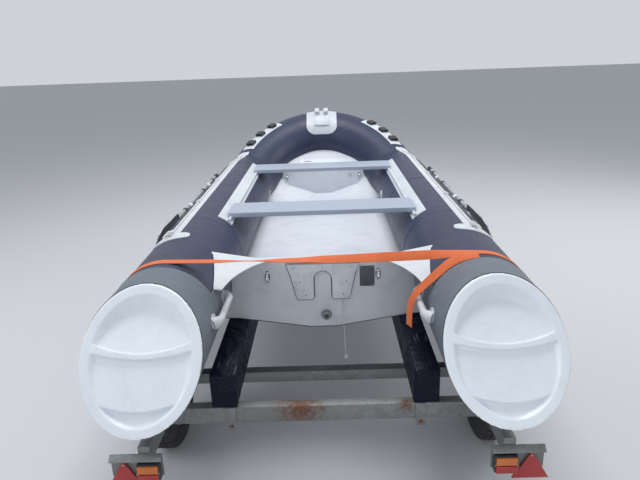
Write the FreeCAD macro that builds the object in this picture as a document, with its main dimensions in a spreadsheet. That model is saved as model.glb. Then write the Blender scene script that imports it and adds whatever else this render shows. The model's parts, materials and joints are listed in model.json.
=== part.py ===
import FreeCAD, Part
import math
import os
import re

# Rigid-hull inflatable boat parked on its road trailer.
# Frame: +Y to the bow and the coupling, +X to starboard, +Z up, floor at Z = 0.
# A station is a distance forward of the boat's aftmost point, the foot of the end caps.

os.makedirs("parts", exist_ok=True)
doc = FreeCAD.newDocument("BoatOnTrailer")
Vec = FreeCAD.Vector

# Driving dimensions, millimetres and degrees
SIZES = [
    ("overall_length", 5200), ("fit_gap", 0.3), ("seat_gap", 0.3), ("bearing_gap", 0.08),
    # inflated collar
    ("tube_radius", 240), ("tube_offset", 715), ("tube_height", 900),
    ("bend_station", 3160), ("plan_radius", 1080), ("plan_angle", 13.6), ("sheer_radius", 300),
    ("sheer_angle", 25.3),
    ("shoulder_radius", 946), ("shoulder_angle", 55),
    ("sleeve_wall", 2.5), ("sleeve_end", 545), ("sleeve_flank_end", 900),
    # end caps
    ("cap_tilt", 36), ("cap_lip", 14), ("cap_plug", 62), ("cap_plug_inset", 24), ("cap_proud", 3),
    ("cap_rim", 34),
    ("cap_draft", 58), ("cap_recess", 44),
    # hull and deck
    ("deck_height", 730), ("deck_wall", 18), ("hull_skin", 14), ("transom_station", 930),
    ("transom_wall", 45), ("transom_top", 1022), ("bulkhead_station", 3600), ("bulkhead_top", 1000),
    ("locker_wall", 12), ("locker_floor", 885), ("bow_deck_slope", 17), ("lid_width", 460),
    ("lid_length", 140),
    ("lid_wall", 12), ("lid_lap", 15), ("lid_margin", 38),
    ("wing_root", 260), ("wing_spread", 640), ("wing_reach", 335), ("wing_wall", 6), ("wing_rise", 11.6),
    ("wing_droop", 11),
    ("pad_half_width", 188), ("pad_depth", 198), ("pad_leg_gap", 92), ("pad_arch", 40), ("pad_wall", 12),
    ("pad_drop", 24),
    ("plate_offset", 229), ("plate_low", 864), ("plate_wide", 76), ("plate_high", 112),
    ("drain_offset", 14), ("drain_height", 709), ("drain_radius", 22), ("eye_offset", 285),
    ("eye_height", 930),
    # benches on the tubes
    ("rail_start", 1435), ("rail_wall", 5), ("rail_bead", 9), ("bead_angle", -40), ("rail_low", -47),
    ("rail_high", -24),
    ("bench_width", 245), ("bench_wall", 30), ("bench_play", 0.3), ("bench_aft_station", 1630),
    ("bench_fore_station", 2975),
    # lifelines, strakes, grips, fairlead, handles and oars
    ("strip_start", 1010), ("strip_turn", 13), ("strip_wall", 4), ("strip_low", 8), ("strip_high", 25),
    ("rope_radius", 5),
    ("rope_angle", 19), ("holder_count", 4),
    ("strake_start", 690), ("strake_wall", 14), ("strake_low", 84), ("strake_high", 102),
    ("grip_from", 18.5), ("grip_to", 47),
    ("grip_low", 5), ("grip_high", 34),
    ("fairlead_width", 300), ("fairlead_low", -54), ("fairlead_high", 20), ("fairlead_wall", 9),
    ("handle_station", 570), ("handle_angle", -84), ("handle_length", 330),
    ("oar_tip", 1300), ("oar_blade", 520), ("oar_length", 1950), ("oar_shaft_radius", 15),
    ("oar_angle", 66), ("blade_half", 70),
    # webbing strap over the stern, and the thin cord
    ("strap_station", 625), ("strap_width", 45), ("strap_wall", 3), ("tail_station", 579),
    ("tail_leaves", -44),
    ("tail_offset", 412), ("tail_end", 805), ("string_radius", 2),
    # trailer
    ("frame_top", 525), ("beam_wide", 50), ("beam_deep", 80), ("side_offset", 740), ("side_end", 2600),
    ("cross_station", 410), ("axle_station", 965), ("axle_height", 335), ("axle_beam", 60),
    ("stub_radius", 18),
    ("wheel_station", 885), ("wheel_offset", 862), ("tyre_radius", 280), ("tyre_width", 155),
    ("rim_radius", 165), ("guard_gap", 30), ("guard_wall", 3), ("guard_width", 180),
    ("bunk_offset", 450), ("bunk_width", 115), ("bunk_start", 385), ("bunk_end", 2760), ("bunk_deep", 168),
    ("board_offset", 773), ("board_width", 213), ("board_station", 130), ("board_top", 495),
    ("board_depth", 105), ("board_wall", 3), ("flange_tilt", 40), ("triangle_side", 150),
    ("post_station", 4520), ("post_side", 60), ("stop_height", 1270), ("winch_drop", 310),
    ("jockey_station", 4640), ("jockey_offset", 178), ("jockey_radius", 100), ("jockey_width", 45),
    ("jockey_trail", 40),
    ("coupling_length", 300), ("head_radius", 42), ("ball_radius", 25),
]

sheet = doc.addObject("Spreadsheet::Sheet", "Sizes")
for row, (alias, value) in enumerate(SIZES, start=1):
    sheet.set("A%d" % row, alias)
    sheet.set("B%d" % row, str(value))
    sheet.setAlias("B%d" % row, alias)
doc.recompute()
ALIASES = set(alias for alias, value in SIZES)


def size(name):
    return float(getattr(sheet, name))


def bound(text):
    """Turns a formula in plain aliases into one that reads the sheet."""
    return re.sub(r"\b[a-z_]+\b", lambda m: "Sizes." + m.group(0) if m.group(0) in ALIASES else m.group(0),
                  text)


def value(text):
    return float(sheet.evalExpression(bound(str(text)).replace("Sizes.", "")))


def station(distance):
    """Y of a station, as a number."""
    return value(distance) - size("overall_length") / 2.0


def station_formula(text):
    return "(%s) - overall_length / 2" % text


def bind(thing, **formulas):
    for field, formula in formulas.items():
        thing.setExpression(field.replace("__", "."), bound(str(formula)))


def place(thing, x, y, z, turn=None):
    """Puts an object at formulas x, y (a station) and z, turned by an optional rotation."""
    if turn is not None:
        thing.Placement = FreeCAD.Placement(Vec(0, 0, 0), turn)
    thing.setExpression(".Placement.Base.x", bound(str(x)))
    thing.setExpression(".Placement.Base.y", bound(station_formula(y)))
    thing.setExpression(".Placement.Base.z", bound(str(z)))
    return thing


def block(name, length, width, height, x, y, z, turn=None):
    """A box with its middle at x and y and its underside at z."""
    box = doc.addObject("Part::Box", name)
    bind(box, Length=length, Width=width, Height=height)
    return place(box, "(%s) - (%s) / 2" % (x, length), "(%s) - (%s) / 2" % (y, width), z, turn)


def rod(name, radius, length, x, y, z, direction):
    """A cylinder from x, y, z along a direction."""
    cylinder = doc.addObject("Part::Cylinder", name)
    bind(cylinder, Radius=radius, Height=length)
    return place(cylinder, x, y, z, FreeCAD.Rotation(Vec(0, 0, 1), Vec(*direction)))


def feature(name, shape):
    made = doc.addObject("Part::Feature", name)
    made.Shape = shape
    return made


def joined(name, pieces):
    fuse = doc.addObject("Part::MultiFuse", name)
    fuse.Shapes = pieces
    return fuse


def grouped(name, pieces):
    compound = doc.addObject("Part::Compound", name)
    compound.Links = pieces
    return compound


def edges_of(points):
    """Edges through points; a point given as ("arc", middle, end) ends an arc."""
    edges = []
    here = points[0]
    for item in list(points[1:]) + [points[0]]:
        if item[0] == "arc":
            edges.append(Part.Arc(Vec(*here, 0), Vec(*item[1], 0), Vec(*item[2], 0)))
            here = item[2]
        elif math.hypot(item[0] - here[0], item[1] - here[1]) > 1e-6:
            edges.append(Part.LineSegment(Vec(*here, 0), Vec(*item, 0)))
            here = item
    return edges


def body_on(name, plane, points):
    """A body with one sketch of the outline on a plane of its own origin."""
    body = doc.addObject("PartDesign::Body", name)
    sketch = body.newObject("Sketcher::SketchObject", name + "_outline")
    face = [f for f in body.Origin.OriginFeatures if f.Role == plane][0]
    sketch.AttachmentSupport = [(face, "")]
    sketch.MapMode = "FlatFace"
    sketch.addGeometry(edges_of(points), False)
    return body, sketch


def padded(name, plane, points, depth, midplane=False):
    body, sketch = body_on(name, plane, points)
    pad = body.newObject("PartDesign::Pad", name + "_pad")
    pad.Profile = sketch
    pad.setExpression("Length", bound(str(depth)))
    pad.Midplane = midplane
    return body


def revolved(name, plane, points, axis):
    body, sketch = body_on(name, plane, points)
    turn = body.newObject("PartDesign::Revolution", name + "_turn")
    turn.Profile = sketch
    turn.ReferenceAxis = (sketch, [axis])
    turn.Angle = 360
    return body


NODES = {}


def node(name, thing):
    thing.Label = name
    NODES[name] = thing
    return thing


# Inflated collar: straight side tubes, a sheer bend, and a bow in a tilted plane
RADIUS = size("tube_radius")
OFFSET = size("tube_offset")
AXIS_HEIGHT = size("tube_height")
CLEAR = size("fit_gap")
TILT = size("cap_tilt")
CAP_REACH = (RADIUS + size("cap_proud")) * math.tan(math.radians(TILT))
CAP_Y = station(CAP_REACH)
BEND_Y = station(size("bend_station"))
SIDES = ((-1, "left"), (1, "right"))


class Bow:
    """One half of the bow's centre line: a turn inboard, a turn upward, then two arcs in a tilted plane."""

    def __init__(self, side):
        self.side = side
        self.plan = math.radians(size("plan_angle"))
        self.sheer = math.radians(size("sheer_angle"))
        self.knee = math.radians(size("shoulder_angle"))
        self.inward = Vec(-side, 0, 0)
        self.start = Vec(side * OFFSET, BEND_Y, AXIS_HEIGHT)
        self.plan_centre = self.start + self.inward * size("plan_radius")
        self.heading = Vec(-side * math.sin(self.plan), math.cos(self.plan), 0)
        self.sheer_centre = self.curve_in(self.plan) + Vec(0, 0, size("sheer_radius"))
        self.foot = self.rise(self.sheer)
        course = self.heading * math.cos(self.sheer) + Vec(0, 0, math.sin(self.sheer))
        tilt = math.atan2(course.z, course.y)
        self.ahead = Vec(0, math.cos(tilt), math.sin(tilt))
        self.upward = Vec(0, -math.sin(tilt), math.cos(tilt))
        self.first_turn = math.atan2(-side * course.x, course.dot(self.ahead))
        self.first = size("shoulder_radius")
        self.centre_one = self.foot - self.spoke(self.first_turn) * self.first
        knee = self.shoulder(self.knee)
        self.second = abs(knee.x) / math.cos(self.knee)
        self.centre_two = knee - self.spoke(self.knee) * self.second

    def spoke(self, a):
        return self.ahead * math.sin(a) - self.inward * math.cos(a)

    def curve_in(self, a):
        reach = size("plan_radius")
        return self.plan_centre + Vec(self.side * reach * math.cos(a), reach * math.sin(a), 0)

    def rise(self, a):
        reach = size("sheer_radius")
        return self.sheer_centre + self.heading * (reach * math.sin(a)) - Vec(0, 0, reach * math.cos(a))

    def shoulder(self, a):
        return self.centre_one + self.spoke(a) * self.first

    def nose(self, a):
        return self.centre_two + self.spoke(a) * self.second

    def path(self):
        runs = ((self.curve_in, 0, self.plan), (self.rise, 0, self.sheer),
                (self.shoulder, self.first_turn, self.knee),
                (self.nose, self.knee, math.pi / 2))
        return [Part.Arc(spot(a), spot((a + b) / 2), spot(b)).toShape() for spot, a, b in runs]

    def frame(self, degrees):
        """Middle, outboard and upward directions of the tube at a turn in the tilted plane."""
        a = math.radians(degrees)
        middle = self.shoulder(a) if a <= self.knee else self.nose(a)
        return middle, self.spoke(a), self.upward

    def carry(self, face, last_turn):
        """Solids that a face at the start of the bow sweeps on its way to a turn in the tilted plane."""
        last = math.radians(last_turn)
        across = Vec(self.heading.y, -self.heading.x, 0)
        moves = [(self.plan_centre, Vec(0, 0, 1), self.side * self.plan),
                 (self.sheer_centre, across, self.sheer),
                 (self.centre_one, self.upward, self.side * (min(last, self.knee) - self.first_turn))]
        if last > self.knee:
            moves.append((self.centre_two, self.upward, self.side * (last - self.knee)))
        solids = []
        for centre, axis, turn in moves:
            degrees = math.degrees(turn)
            if abs(degrees) > 0.01:
                solids.append(face.revolve(centre, axis, degrees))
                face = face.copy()
                face.rotate(centre, axis, degrees)
        return solids


BOWS = {side: Bow(side) for side, word in SIDES}


def swept(edges, radius):
    wire = Part.Wire(Part.__sortEdges__(edges))
    first = wire.OrderedEdges[0]
    where = first.valueAt(first.FirstParameter)
    along = first.tangentAt(first.FirstParameter)
    if first.Orientation == "Reversed":
        where = first.valueAt(first.LastParameter)
        along = first.tangentAt(first.LastParameter)
    ring = Part.Wire(Part.makeCircle(radius, where, along))
    return wire.makePipeShell([ring], True, False)


def bow_tube(radius):
    return swept(BOWS[-1].path() + BOWS[1].path(), radius)


def side_tube(side, radius, start, end):
    return Part.makeCylinder(radius, end - start, Vec(side * OFFSET, start, AXIS_HEIGHT), Vec(0, 1, 0))


def around(middle, outward, upward, radius, degrees):
    """A point of the tube's skin; degrees count from the top, positive outboard."""
    a = math.radians(degrees)
    return middle + outward * (radius * math.sin(a)) + upward * (radius * math.cos(a))


def band_face(middle, outward, upward, inner, outer, start, end):
    half = (start + end) / 2.0
    spot = lambda r, d: around(middle, outward, upward, r, d)
    return Part.Face(Part.Wire([
        Part.Arc(spot(outer, start), spot(outer, half), spot(outer, end)).toShape(),
        Part.makeLine(spot(outer, end), spot(inner, end)),
        Part.Arc(spot(inner, end), spot(inner, half), spot(inner, start)).toShape(),
        Part.makeLine(spot(inner, start), spot(outer, start)),
    ]))


def side_band(side, start, end, inner, outer, low, high):
    """A curved strip on a side tube between two stations and two angles."""
    return skin_face(side, start, inner, outer, low, high).extrude(Vec(0, end - start, 0))


def bow_band(side, start, end, inner, outer, low, high):
    """A curved strip on the bow between two turns in degrees and two angles round the tube."""
    bow = BOWS[side]
    knee = size("shoulder_angle")
    pieces = []
    for first, last, centre in ((start, min(end, knee), bow.centre_one),
                                (max(start, knee), end, bow.centre_two)):
        if last > first:
            face = band_face(*bow.frame(first), inner, outer, low, high)
            pieces.append(face.revolve(centre, bow.upward, side * (last - first)))
    strip = pieces[0]
    for piece in pieces[1:]:
        strip = strip.fuse(piece)
    return strip


def along_collar(side, face, start, last_turn):
    """Carries a face from a station of the side tube along the collar to a turn of the bow."""
    straight = face.extrude(Vec(0, BEND_Y - station(start), 0))
    moved = face.copy()
    moved.translate(Vec(0, BEND_Y - station(start), 0))
    for solid in BOWS[side].carry(moved, last_turn):
        straight = straight.fuse(solid)
    return straight


def skin_face(side, start, inner, outer, low, high):
    """The cross-section of a curved strip on a side tube at a station."""
    middle = Vec(side * OFFSET, station(start), AXIS_HEIGHT)
    return band_face(middle, Vec(side, 0, 0), Vec(0, 0, 1), inner, outer, low, high)


def both(make):
    return Part.makeCompound([make(side) for side, word in SIDES])


def largest(shape):
    return sorted(shape.Solids, key=lambda s: s.Volume)[-1]


# Moulded end caps on an oblique plane: a rim, an upper scoop, a middle ledge and a lower scoop
CAP_SHORT = RADIUS
CAP_LONG = RADIUS / math.cos(math.radians(TILT))
LIP = size("cap_lip")
PLUG = size("cap_plug")
RIM = size("cap_rim")


def ellipse_face(short, long, depth):
    ring = Part.Ellipse(Vec(0, long, depth), Vec(short, 0, depth), Vec(0, 0, depth)).toShape()
    return Part.Wire([ring])


def ellipse_solid(short, long, near, far):
    return Part.Face(ellipse_face(short, long, near)).extrude(Vec(0, 0, far - near))


def smile(ends, middle, half):
    return Part.Arc(Vec(-half, ends, 5), Vec(0, middle, 5), Vec(half, ends, 5)).toShape()


def between(upper, lower):
    """A prism between two curved ledges, each given by its ends' and its middle's height."""
    half = CAP_SHORT + 20
    top = smile(upper[0], upper[1], half)
    bottom = smile(lower[0], lower[1], half)
    right = Part.makeLine(Vec(half, lower[0], 5), Vec(half, upper[0], 5))
    left = Part.makeLine(Vec(-half, lower[0], 5), Vec(-half, upper[0], 5))
    return Part.Face(Part.Wire(Part.__sortEdges__([top, right, bottom, left]))).extrude(Vec(0, 0, -PLUG))


def above_floor(high, low):
    """Everything outside a sloping floor through two (height, depth) points of the cap's middle."""
    slope = (high[1] - low[1]) / float(high[0] - low[0])
    line = lambda h: -(low[1] + slope * (h - low[0]))
    wide = CAP_SHORT + 40
    corners = [Vec(-wide, -400, line(-400)), Vec(-wide, 400, line(400)), Vec(-wide, 400, 60),
               Vec(-wide, -400, 60)]
    return Part.Face(Part.makePolygon(corners + corners[:1])).extrude(Vec(2 * wide, 0, 0))


def cap_scoops():
    short, long = CAP_SHORT - RIM, CAP_LONG - RIM
    draft = size("cap_draft")
    depth = size("cap_recess")
    funnel = Part.makeLoft([ellipse_face(short, long, 0.5),
                            ellipse_face(short - draft, long - draft, -depth - 8)], True, True)
    upper = funnel.common(between((400, 420),
                                  (102, 22))).common(above_floor((CAP_LONG - RIM - draft, depth), (0, 2)))
    middle = funnel.common(between((50, -1), (-100, -200))).common(above_floor((-5, 16), (-195, 1)))
    lower = funnel.common(between((-100, -200), (-400, -420))).common(above_floor((-190, 24), (-262, 9)))
    return [upper, middle, lower]


def cap_placement(side):
    return FreeCAD.Placement(Vec(side * OFFSET, CAP_Y, AXIS_HEIGHT),
                             FreeCAD.Rotation(Vec(1, 0, 0), 90 - TILT))


def slab(near, far):
    return Part.makeBox(1200, 1400, far - near, Vec(-600, -700, near))


def set_on_cap(shape, side):
    moved = shape.copy()
    moved.Placement = cap_placement(side)
    return moved


SCOOPS = cap_scoops()
PLUG_SHORT = CAP_SHORT - size("cap_plug_inset")
PLUG_LONG = CAP_LONG - size("cap_plug_inset")


def end_cap(side):
    near = CAP_Y - CAP_REACH - 60
    disc = set_on_cap(slab(-LIP, 0), side).common(side_tube(side, RADIUS + size("cap_proud"), near,
            near + 900))
    plug = set_on_cap(ellipse_solid(PLUG_SHORT, PLUG_LONG, -PLUG, -LIP), side)
    cap = disc.fuse(plug.common(side_tube(side, PLUG_SHORT, near, near + 900)))
    for scoop in SCOOPS:
        cap = cap.cut(set_on_cap(scoop, side))
    return largest(cap)


for side, word in SIDES:
    node("end_cap_" + word, feature("end_cap_" + word, end_cap(side)))
    tube = side_tube(side, RADIUS, CAP_Y - CAP_REACH - 60, BEND_Y)
    tube = tube.cut(set_on_cap(slab(-LIP - CLEAR, 800), side))
    socket = set_on_cap(ellipse_solid(PLUG_SHORT + CLEAR, PLUG_LONG + CLEAR, -PLUG - CLEAR, 0), side)
    tube = tube.cut(socket.common(side_tube(side, PLUG_SHORT + CLEAR, CAP_Y - CAP_REACH - 60, CAP_Y + 900)))
    node("tube_" + word, feature("tube_" + word, largest(tube)))
    reach = RADIUS + CLEAR
    outer = reach + size("sleeve_wall")
    sleeve = side_tube(side, outer, CAP_Y - CAP_REACH - 60, station(size("sleeve_end")))
    sleeve = sleeve.cut(side_tube(side, reach, CAP_Y - 400, station(size("sleeve_end")) + 10))
    sleeve = sleeve.cut(set_on_cap(slab(-LIP - CLEAR, 800), side))
    flank = side_band(side, size("sleeve_end") - 20, size("sleeve_flank_end"), reach, outer, -150, -64)
    node("sleeve_" + word, feature("sleeve_" + word, largest(sleeve.fuse(flank))))
node("tube_bow", feature("tube_bow", bow_tube(RADIUS)))

fat_collar = [side_tube(side, RADIUS + CLEAR, CAP_Y - 300, BEND_Y + 1) for side, word in SIDES]
fat_collar.append(bow_tube(RADIUS + CLEAR))
fat_sleeves = [side_tube(side, outer + CLEAR, CAP_Y - 300,
                         station(size("sleeve_flank_end")) + CLEAR) for side, word in SIDES]


def clear_of_collar(shape):
    for tube in fat_collar:
        shape = shape.cut(tube)
    return shape


# Hull: a shallow V with chines, lofted through sections and trimmed under the collar
# columns: station, half width of the keel flat, its height, half width and height of the chine,
# half width and height of the top edge
SECTIONS = [
    (930, 70, 640, 450, 700, 640, 712),
    (2760, 60, 640, 445, 705, 640, 712),
    (3300, 45, 660, 400, 745, 650, 860),
    (3620, 32, 705, 330, 805, 590, 1060),
    (3900, 18, 810, 190, 905, 420, 1160),
    (4085, 8, 925, 70, 985, 200, 1210),
    (4190, 4, 1012, 20, 1040, 60, 1230),
]
SKIN = size("hull_skin")


def section(row, inside):
    where, keel, keel_z, chine, chine_z, top, top_z = row
    y = station(where)
    right = [(keel, keel_z), (chine, chine_z), (top, top_z)]
    if inside:
        right = [(keel, keel_z + SKIN), (chine - SKIN / 2, chine_z + SKIN), (top - SKIN, top_z + SKIN / 2),
                 (top - SKIN, 1500)]
    left = [(-x, z) for x, z in reversed(right)]
    return Part.makePolygon([Vec(x, y, z) for x, z in right + left + right[:1]])


outside = clear_of_collar(Part.makeLoft([section(row, False) for row in SECTIONS], True, True))
inside = Part.makeLoft([section(row, True) for row in SECTIONS], True, True)
BULKHEAD_Y = station(size("bulkhead_station"))
TRANSOM_Y = station(size("transom_station"))
TRANSOM_WALL = size("transom_wall")
DECK_TOP = size("deck_height")
DECK_WALL = size("deck_wall")
LOCKER = size("locker_wall")
SLOPE = size("bow_deck_slope")
TOP_START = Vec(0, BULKHEAD_Y, size("bulkhead_top"))


def on_bow_deck(shape):
    """Lays a shape made on a level plane at the bulkhead onto the sloping bow deck."""
    shape.rotate(Vec(0, 0, 0), Vec(1, 0, 0), SLOPE)
    shape.translate(TOP_START)
    return shape


LID_WIDE = size("lid_width")
LID_LONG = size("lid_length")
MARGIN = size("lid_margin")
SEAT = size("seat_gap")
LAP = size("lid_lap")
deck_floor = DECK_TOP - DECK_WALL
cockpit = Part.makeBox(1400, BULKHEAD_Y - TRANSOM_Y - TRANSOM_WALL, 900,
                       Vec(-700, TRANSOM_Y + TRANSOM_WALL, deck_floor))
cockpit = cockpit.common(inside)
transom_space = Part.makeBox(1400, TRANSOM_WALL, 900, Vec(-700, TRANSOM_Y, 500))
above_bow_deck = on_bow_deck(Part.makeBox(1500, 900, 500, Vec(-750, -200, 0)))
bow_plate = on_bow_deck(Part.makeBox(1500, 560, LOCKER, Vec(-750, 0, -LOCKER)))
bulkhead = Part.makeBox(1400, LOCKER, 500, Vec(-700, BULKHEAD_Y, deck_floor)).cut(above_bow_deck)
lid_hole = on_bow_deck(Part.makeBox(LID_WIDE - 2 * LAP, LID_LONG - 2 * LAP, 200,
                                    Vec(LAP - LID_WIDE / 2, MARGIN + LAP, -150)))
locker_floor = size("locker_floor")
locker_well = Part.makeBox(LID_WIDE, LID_LONG + MARGIN, 600,
                           Vec(-LID_WIDE / 2, BULKHEAD_Y + LOCKER, locker_floor)).cut(above_bow_deck)

locker = largest(outside.common(bow_plate.fuse(bulkhead)).cut(lid_hole))
node("bow_locker", feature("bow_locker", locker))
hull = outside.cut(cockpit).cut(transom_space).cut(above_bow_deck).cut(bow_plate).cut(bulkhead).cut(locker_well)
node("hull", feature("hull", largest(hull)))
deck = Part.makeBox(1400, BULKHEAD_Y - TRANSOM_Y - TRANSOM_WALL, DECK_WALL,
                    Vec(-700, TRANSOM_Y + TRANSOM_WALL, deck_floor))
node("deck", feature("deck", largest(clear_of_collar(deck.common(inside)))))

lid = Part.makeBox(LID_WIDE, LID_LONG, size("lid_wall"), Vec(-LID_WIDE / 2, MARGIN, SEAT))
finger_slot = Part.makeBox(70, 16, 60, Vec(50 - LID_WIDE / 2, MARGIN + 26, -20))
node("locker_lid", feature("locker_lid", on_bow_deck(lid.cut(finger_slot))))

# Transom, V-bottomed, trimmed to the tubes, with its wings, motor pad and fittings
keel_row = SECTIONS[0]
TRANSOM_TOP = size("transom_top")
board = [(-640, TRANSOM_TOP), (640, TRANSOM_TOP), (640, keel_row[6]), (keel_row[3], keel_row[4]),
         (keel_row[1], keel_row[2]),
         (-keel_row[1], keel_row[2]), (-keel_row[3], keel_row[4]), (-640, keel_row[6])]
board_face = Part.Face(Part.makePolygon([Vec(x, TRANSOM_Y, z) for x, z in board + board[:1]]))
DRAIN_X = size("drain_offset")
DRAIN_Z = size("drain_height")
transom = clear_of_collar(board_face.extrude(Vec(0, TRANSOM_WALL, 0)))
for sleeve in fat_sleeves:
    transom = transom.cut(sleeve)
node("transom", feature("transom", largest(transom)))


def wing(side):
    """A flap from the transom's top corner aft to the tube's inner flank, with a curved aft edge."""
    root, spread, reach = size("wing_root"), size("wing_spread"), size("wing_reach")
    tip = Vec(spread, -reach, 0)
    sweep = Part.Arc(Vec(465, -0.94 * reach, 0), Vec(392, -0.42 * reach, 0), Vec(root, 0, 0)).toShape()
    outline = Part.Wire([
        Part.makeLine(Vec(root, 0, 0), Vec(spread, 0, 0)),
        Part.makeLine(Vec(spread, 0, 0), tip),
        Part.makeLine(tip, Vec(465, -0.94 * reach, 0)),
        sweep,
    ])
    flap = Part.Face(outline).extrude(Vec(0, 0, size("wing_wall")))
    flap.rotate(Vec(root, 0, 0), Vec(0, 1, 0), -size("wing_rise"))
    flap.rotate(Vec(root, 0, 0), Vec(1, 0, 0), size("wing_droop"))
    if side < 0:
        flap = flap.mirror(Vec(0, 0, 0), Vec(1, 0, 0))
    flap.translate(Vec(0, TRANSOM_Y - CLEAR, TRANSOM_TOP - size("wing_wall")))
    flap = clear_of_collar(flap)
    for sleeve in fat_sleeves:
        flap = flap.cut(sleeve)
    return largest(flap)


node("transom_wings", feature("transom_wings", both(wing)))

half = size("pad_half_width")
foot = size("pad_depth")
leg = size("pad_leg_gap") / 2
arch = size("pad_arch")
pad_outline = [(-half, 0), (half, 0), (half - 20, -60), (half - 46, -foot + 24), (half - 54, -foot),
               (leg + 10, -foot),
               (leg, -foot + 10), (leg, -arch - leg), ("arc", (0, -arch), (-leg, -arch - leg)),
               (-leg, -foot + 10),
               (-leg - 10, -foot), (-half + 54, -foot), (-half + 46, -foot + 24), (-half + 20, -60)]
motor_pad = padded("motor_pad", "XZ_Plane", pad_outline, "pad_wall")
place(motor_pad, 0, "transom_station", "transom_top - pad_drop")
node("motor_pad", motor_pad)
node("blank_plate", block("blank_plate", "plate_wide", "2", "plate_high", "plate_offset",
                          "transom_station - 1", "plate_low"))

drain_flange = rod("drain_flange", "drain_radius + 6", "4", "drain_offset", "transom_station",
                   "drain_height", (0, -1, 0))
drain_nut = padded("drain_nut", "XZ_Plane", [(math.cos(math.radians(60 * k)) * 26,
                                              math.sin(math.radians(60 * k)) * 26)
                                             for k in range(6)], "14")
place(drain_nut, "drain_offset", "transom_station - 4", "drain_height")
node("drain_fitting", joined("drain_fitting", [drain_flange, drain_nut]))


def ring_eye(where, turn, height, width, wire):
    """A U-shaped eye standing out of a face along its local Z, on a small base plate."""
    half_gap = width / 2.0
    base = Part.makeBox(width + 18, 16, 3, Vec(-half_gap - 9, -8, 0))
    outer_half, inner_half = half_gap + wire, half_gap - wire
    bow = lambda reach, top: [Part.makeLine(Vec(-reach, 0, 2), Vec(-reach, 0, top - reach)),
                              Part.Arc(Vec(-reach, 0, top - reach), Vec(0, 0, top),
                                       Vec(reach, 0, top - reach)).toShape(),
                              Part.makeLine(Vec(reach, 0, top - reach), Vec(reach, 0, 2))]
    top = height + wire
    ends = [Part.makeLine(Vec(side * inner_half, 0, 2), Vec(side * outer_half, 0, 2)) for side in (-1, 1)]
    hoop = Part.Face(Part.Wire(Part.__sortEdges__(bow(outer_half, top) + bow(inner_half,
            top - 2 * wire) + ends)))
    hoop = hoop.extrude(Vec(0, 2 * wire, 0))
    hoop.translate(Vec(0, -wire, 0))
    hoop = hoop.makeFillet(0.45 * wire,
                           [e for e in hoop.Edges if abs(e.BoundBox.YLength) < 0.01 and e.BoundBox.ZMax > 2.1])
    eye = base.fuse(hoop)
    eye.Placement = FreeCAD.Placement(where, turn)
    return eye


AFT = FreeCAD.Rotation(Vec(0, 0, 1), Vec(0, -1, 0))
tow_eyes = [ring_eye(Vec(side * size("eye_offset"), TRANSOM_Y, size("eye_height")),
                     AFT.multiply(FreeCAD.Rotation(Vec(0, 0, 1), 90)),
                     38, 34, 5) for side, word in SIDES]
bulkhead_eyes = [ring_eye(Vec(side * 350, BULKHEAD_Y, 893),
                          AFT.multiply(FreeCAD.Rotation(Vec(0, 0, 1), 90)), 26, 30, 4)
                 for side, word in SIDES]
node("eyes", feature("eyes", Part.makeCompound(tow_eyes + bulkhead_eyes)))

# Benches and their rails on the inner shoulders of the tubes
REACH = RADIUS + CLEAR


def bench_rail(side):
    start, end = size("rail_start"), size("bend_station")
    wall = size("rail_wall")
    strip = side_band(side, start, end, REACH, REACH + wall, size("rail_low"), size("rail_high"))
    bead = Part.makeCylinder(size("rail_bead"), end - start,
                             around(Vec(side * OFFSET, station(start), AXIS_HEIGHT), Vec(side, 0, 0),
                             Vec(0, 0, 1), REACH + wall + size("rail_bead") - 2, size("bead_angle")),
                             Vec(0, 1, 0))
    return largest(strip.fuse(bead).cut(bow_tube(REACH)))


node("bench_rails", feature("bench_rails", both(bench_rail)))
BEAD_SPOT = around(Vec(OFFSET, 0, AXIS_HEIGHT), Vec(1, 0, 0), Vec(0, 0, 1),
                   REACH + size("rail_wall") + size("rail_bead") - 2,
                   size("bead_angle"))
BENCH_LOW = BEAD_SPOT.z - 2


def bench(where):
    """A plank whose end shoes ride on the rail beads."""
    half_wide = size("bench_width") / 2
    reach = BEAD_SPOT.x + size("rail_bead") + 6
    y = station(where)
    plank = Part.makeBox(2 * reach, 2 * half_wide, size("bench_wall"), Vec(-reach, y - half_wide, BENCH_LOW))
    long_edges = [e for e in plank.Edges if abs(e.tangentAt(e.FirstParameter).x) > 0.9]
    plank = plank.makeFillet(5, long_edges)
    for side in (-1, 1):
        groove = Part.makeCylinder(size("rail_bead") + size("bench_play"), 4 * half_wide,
                                   Vec(side * BEAD_SPOT.x, y - 2 * half_wide, BEAD_SPOT.z),
                                   Vec(0, 1, 0))
        skin = side_tube(side, REACH + size("rail_wall") + size("bench_play"), y - 2 * half_wide,
                         y + 2 * half_wide)
        plank = plank.cut(groove).cut(skin)
    return largest(plank)


for word in ("aft", "fore"):
    node("bench_" + word, feature("bench_" + word, bench(size("bench_%s_station" % word))))

# Lifeline strips, their rope and its holders, on the outer shoulders
STRIP_TOP = REACH + size("strip_wall")
ROPE = size("rope_radius")
STRIP_START = size("strip_start")
STRIP_TURN = size("strip_turn")


def lifeline_strip(side):
    """A welded strip from the stern quarter to the bow's shoulder, with a wider tab at each end."""
    low, high = size("strip_low"), size("strip_high")
    strip = along_collar(side, skin_face(side, STRIP_START, REACH, STRIP_TOP, low, high), STRIP_START,
                         STRIP_TURN)
    aft_tab = side_band(side, STRIP_START - 30, STRIP_START + 45, REACH, STRIP_TOP, low - 9, high + 13)
    turned = bow_band(side, STRIP_TURN - 0.5, STRIP_TURN + 2.5, REACH, STRIP_TOP, low + 2, high + 16)
    return strip.fuse(aft_tab).fuse(turned)


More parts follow.
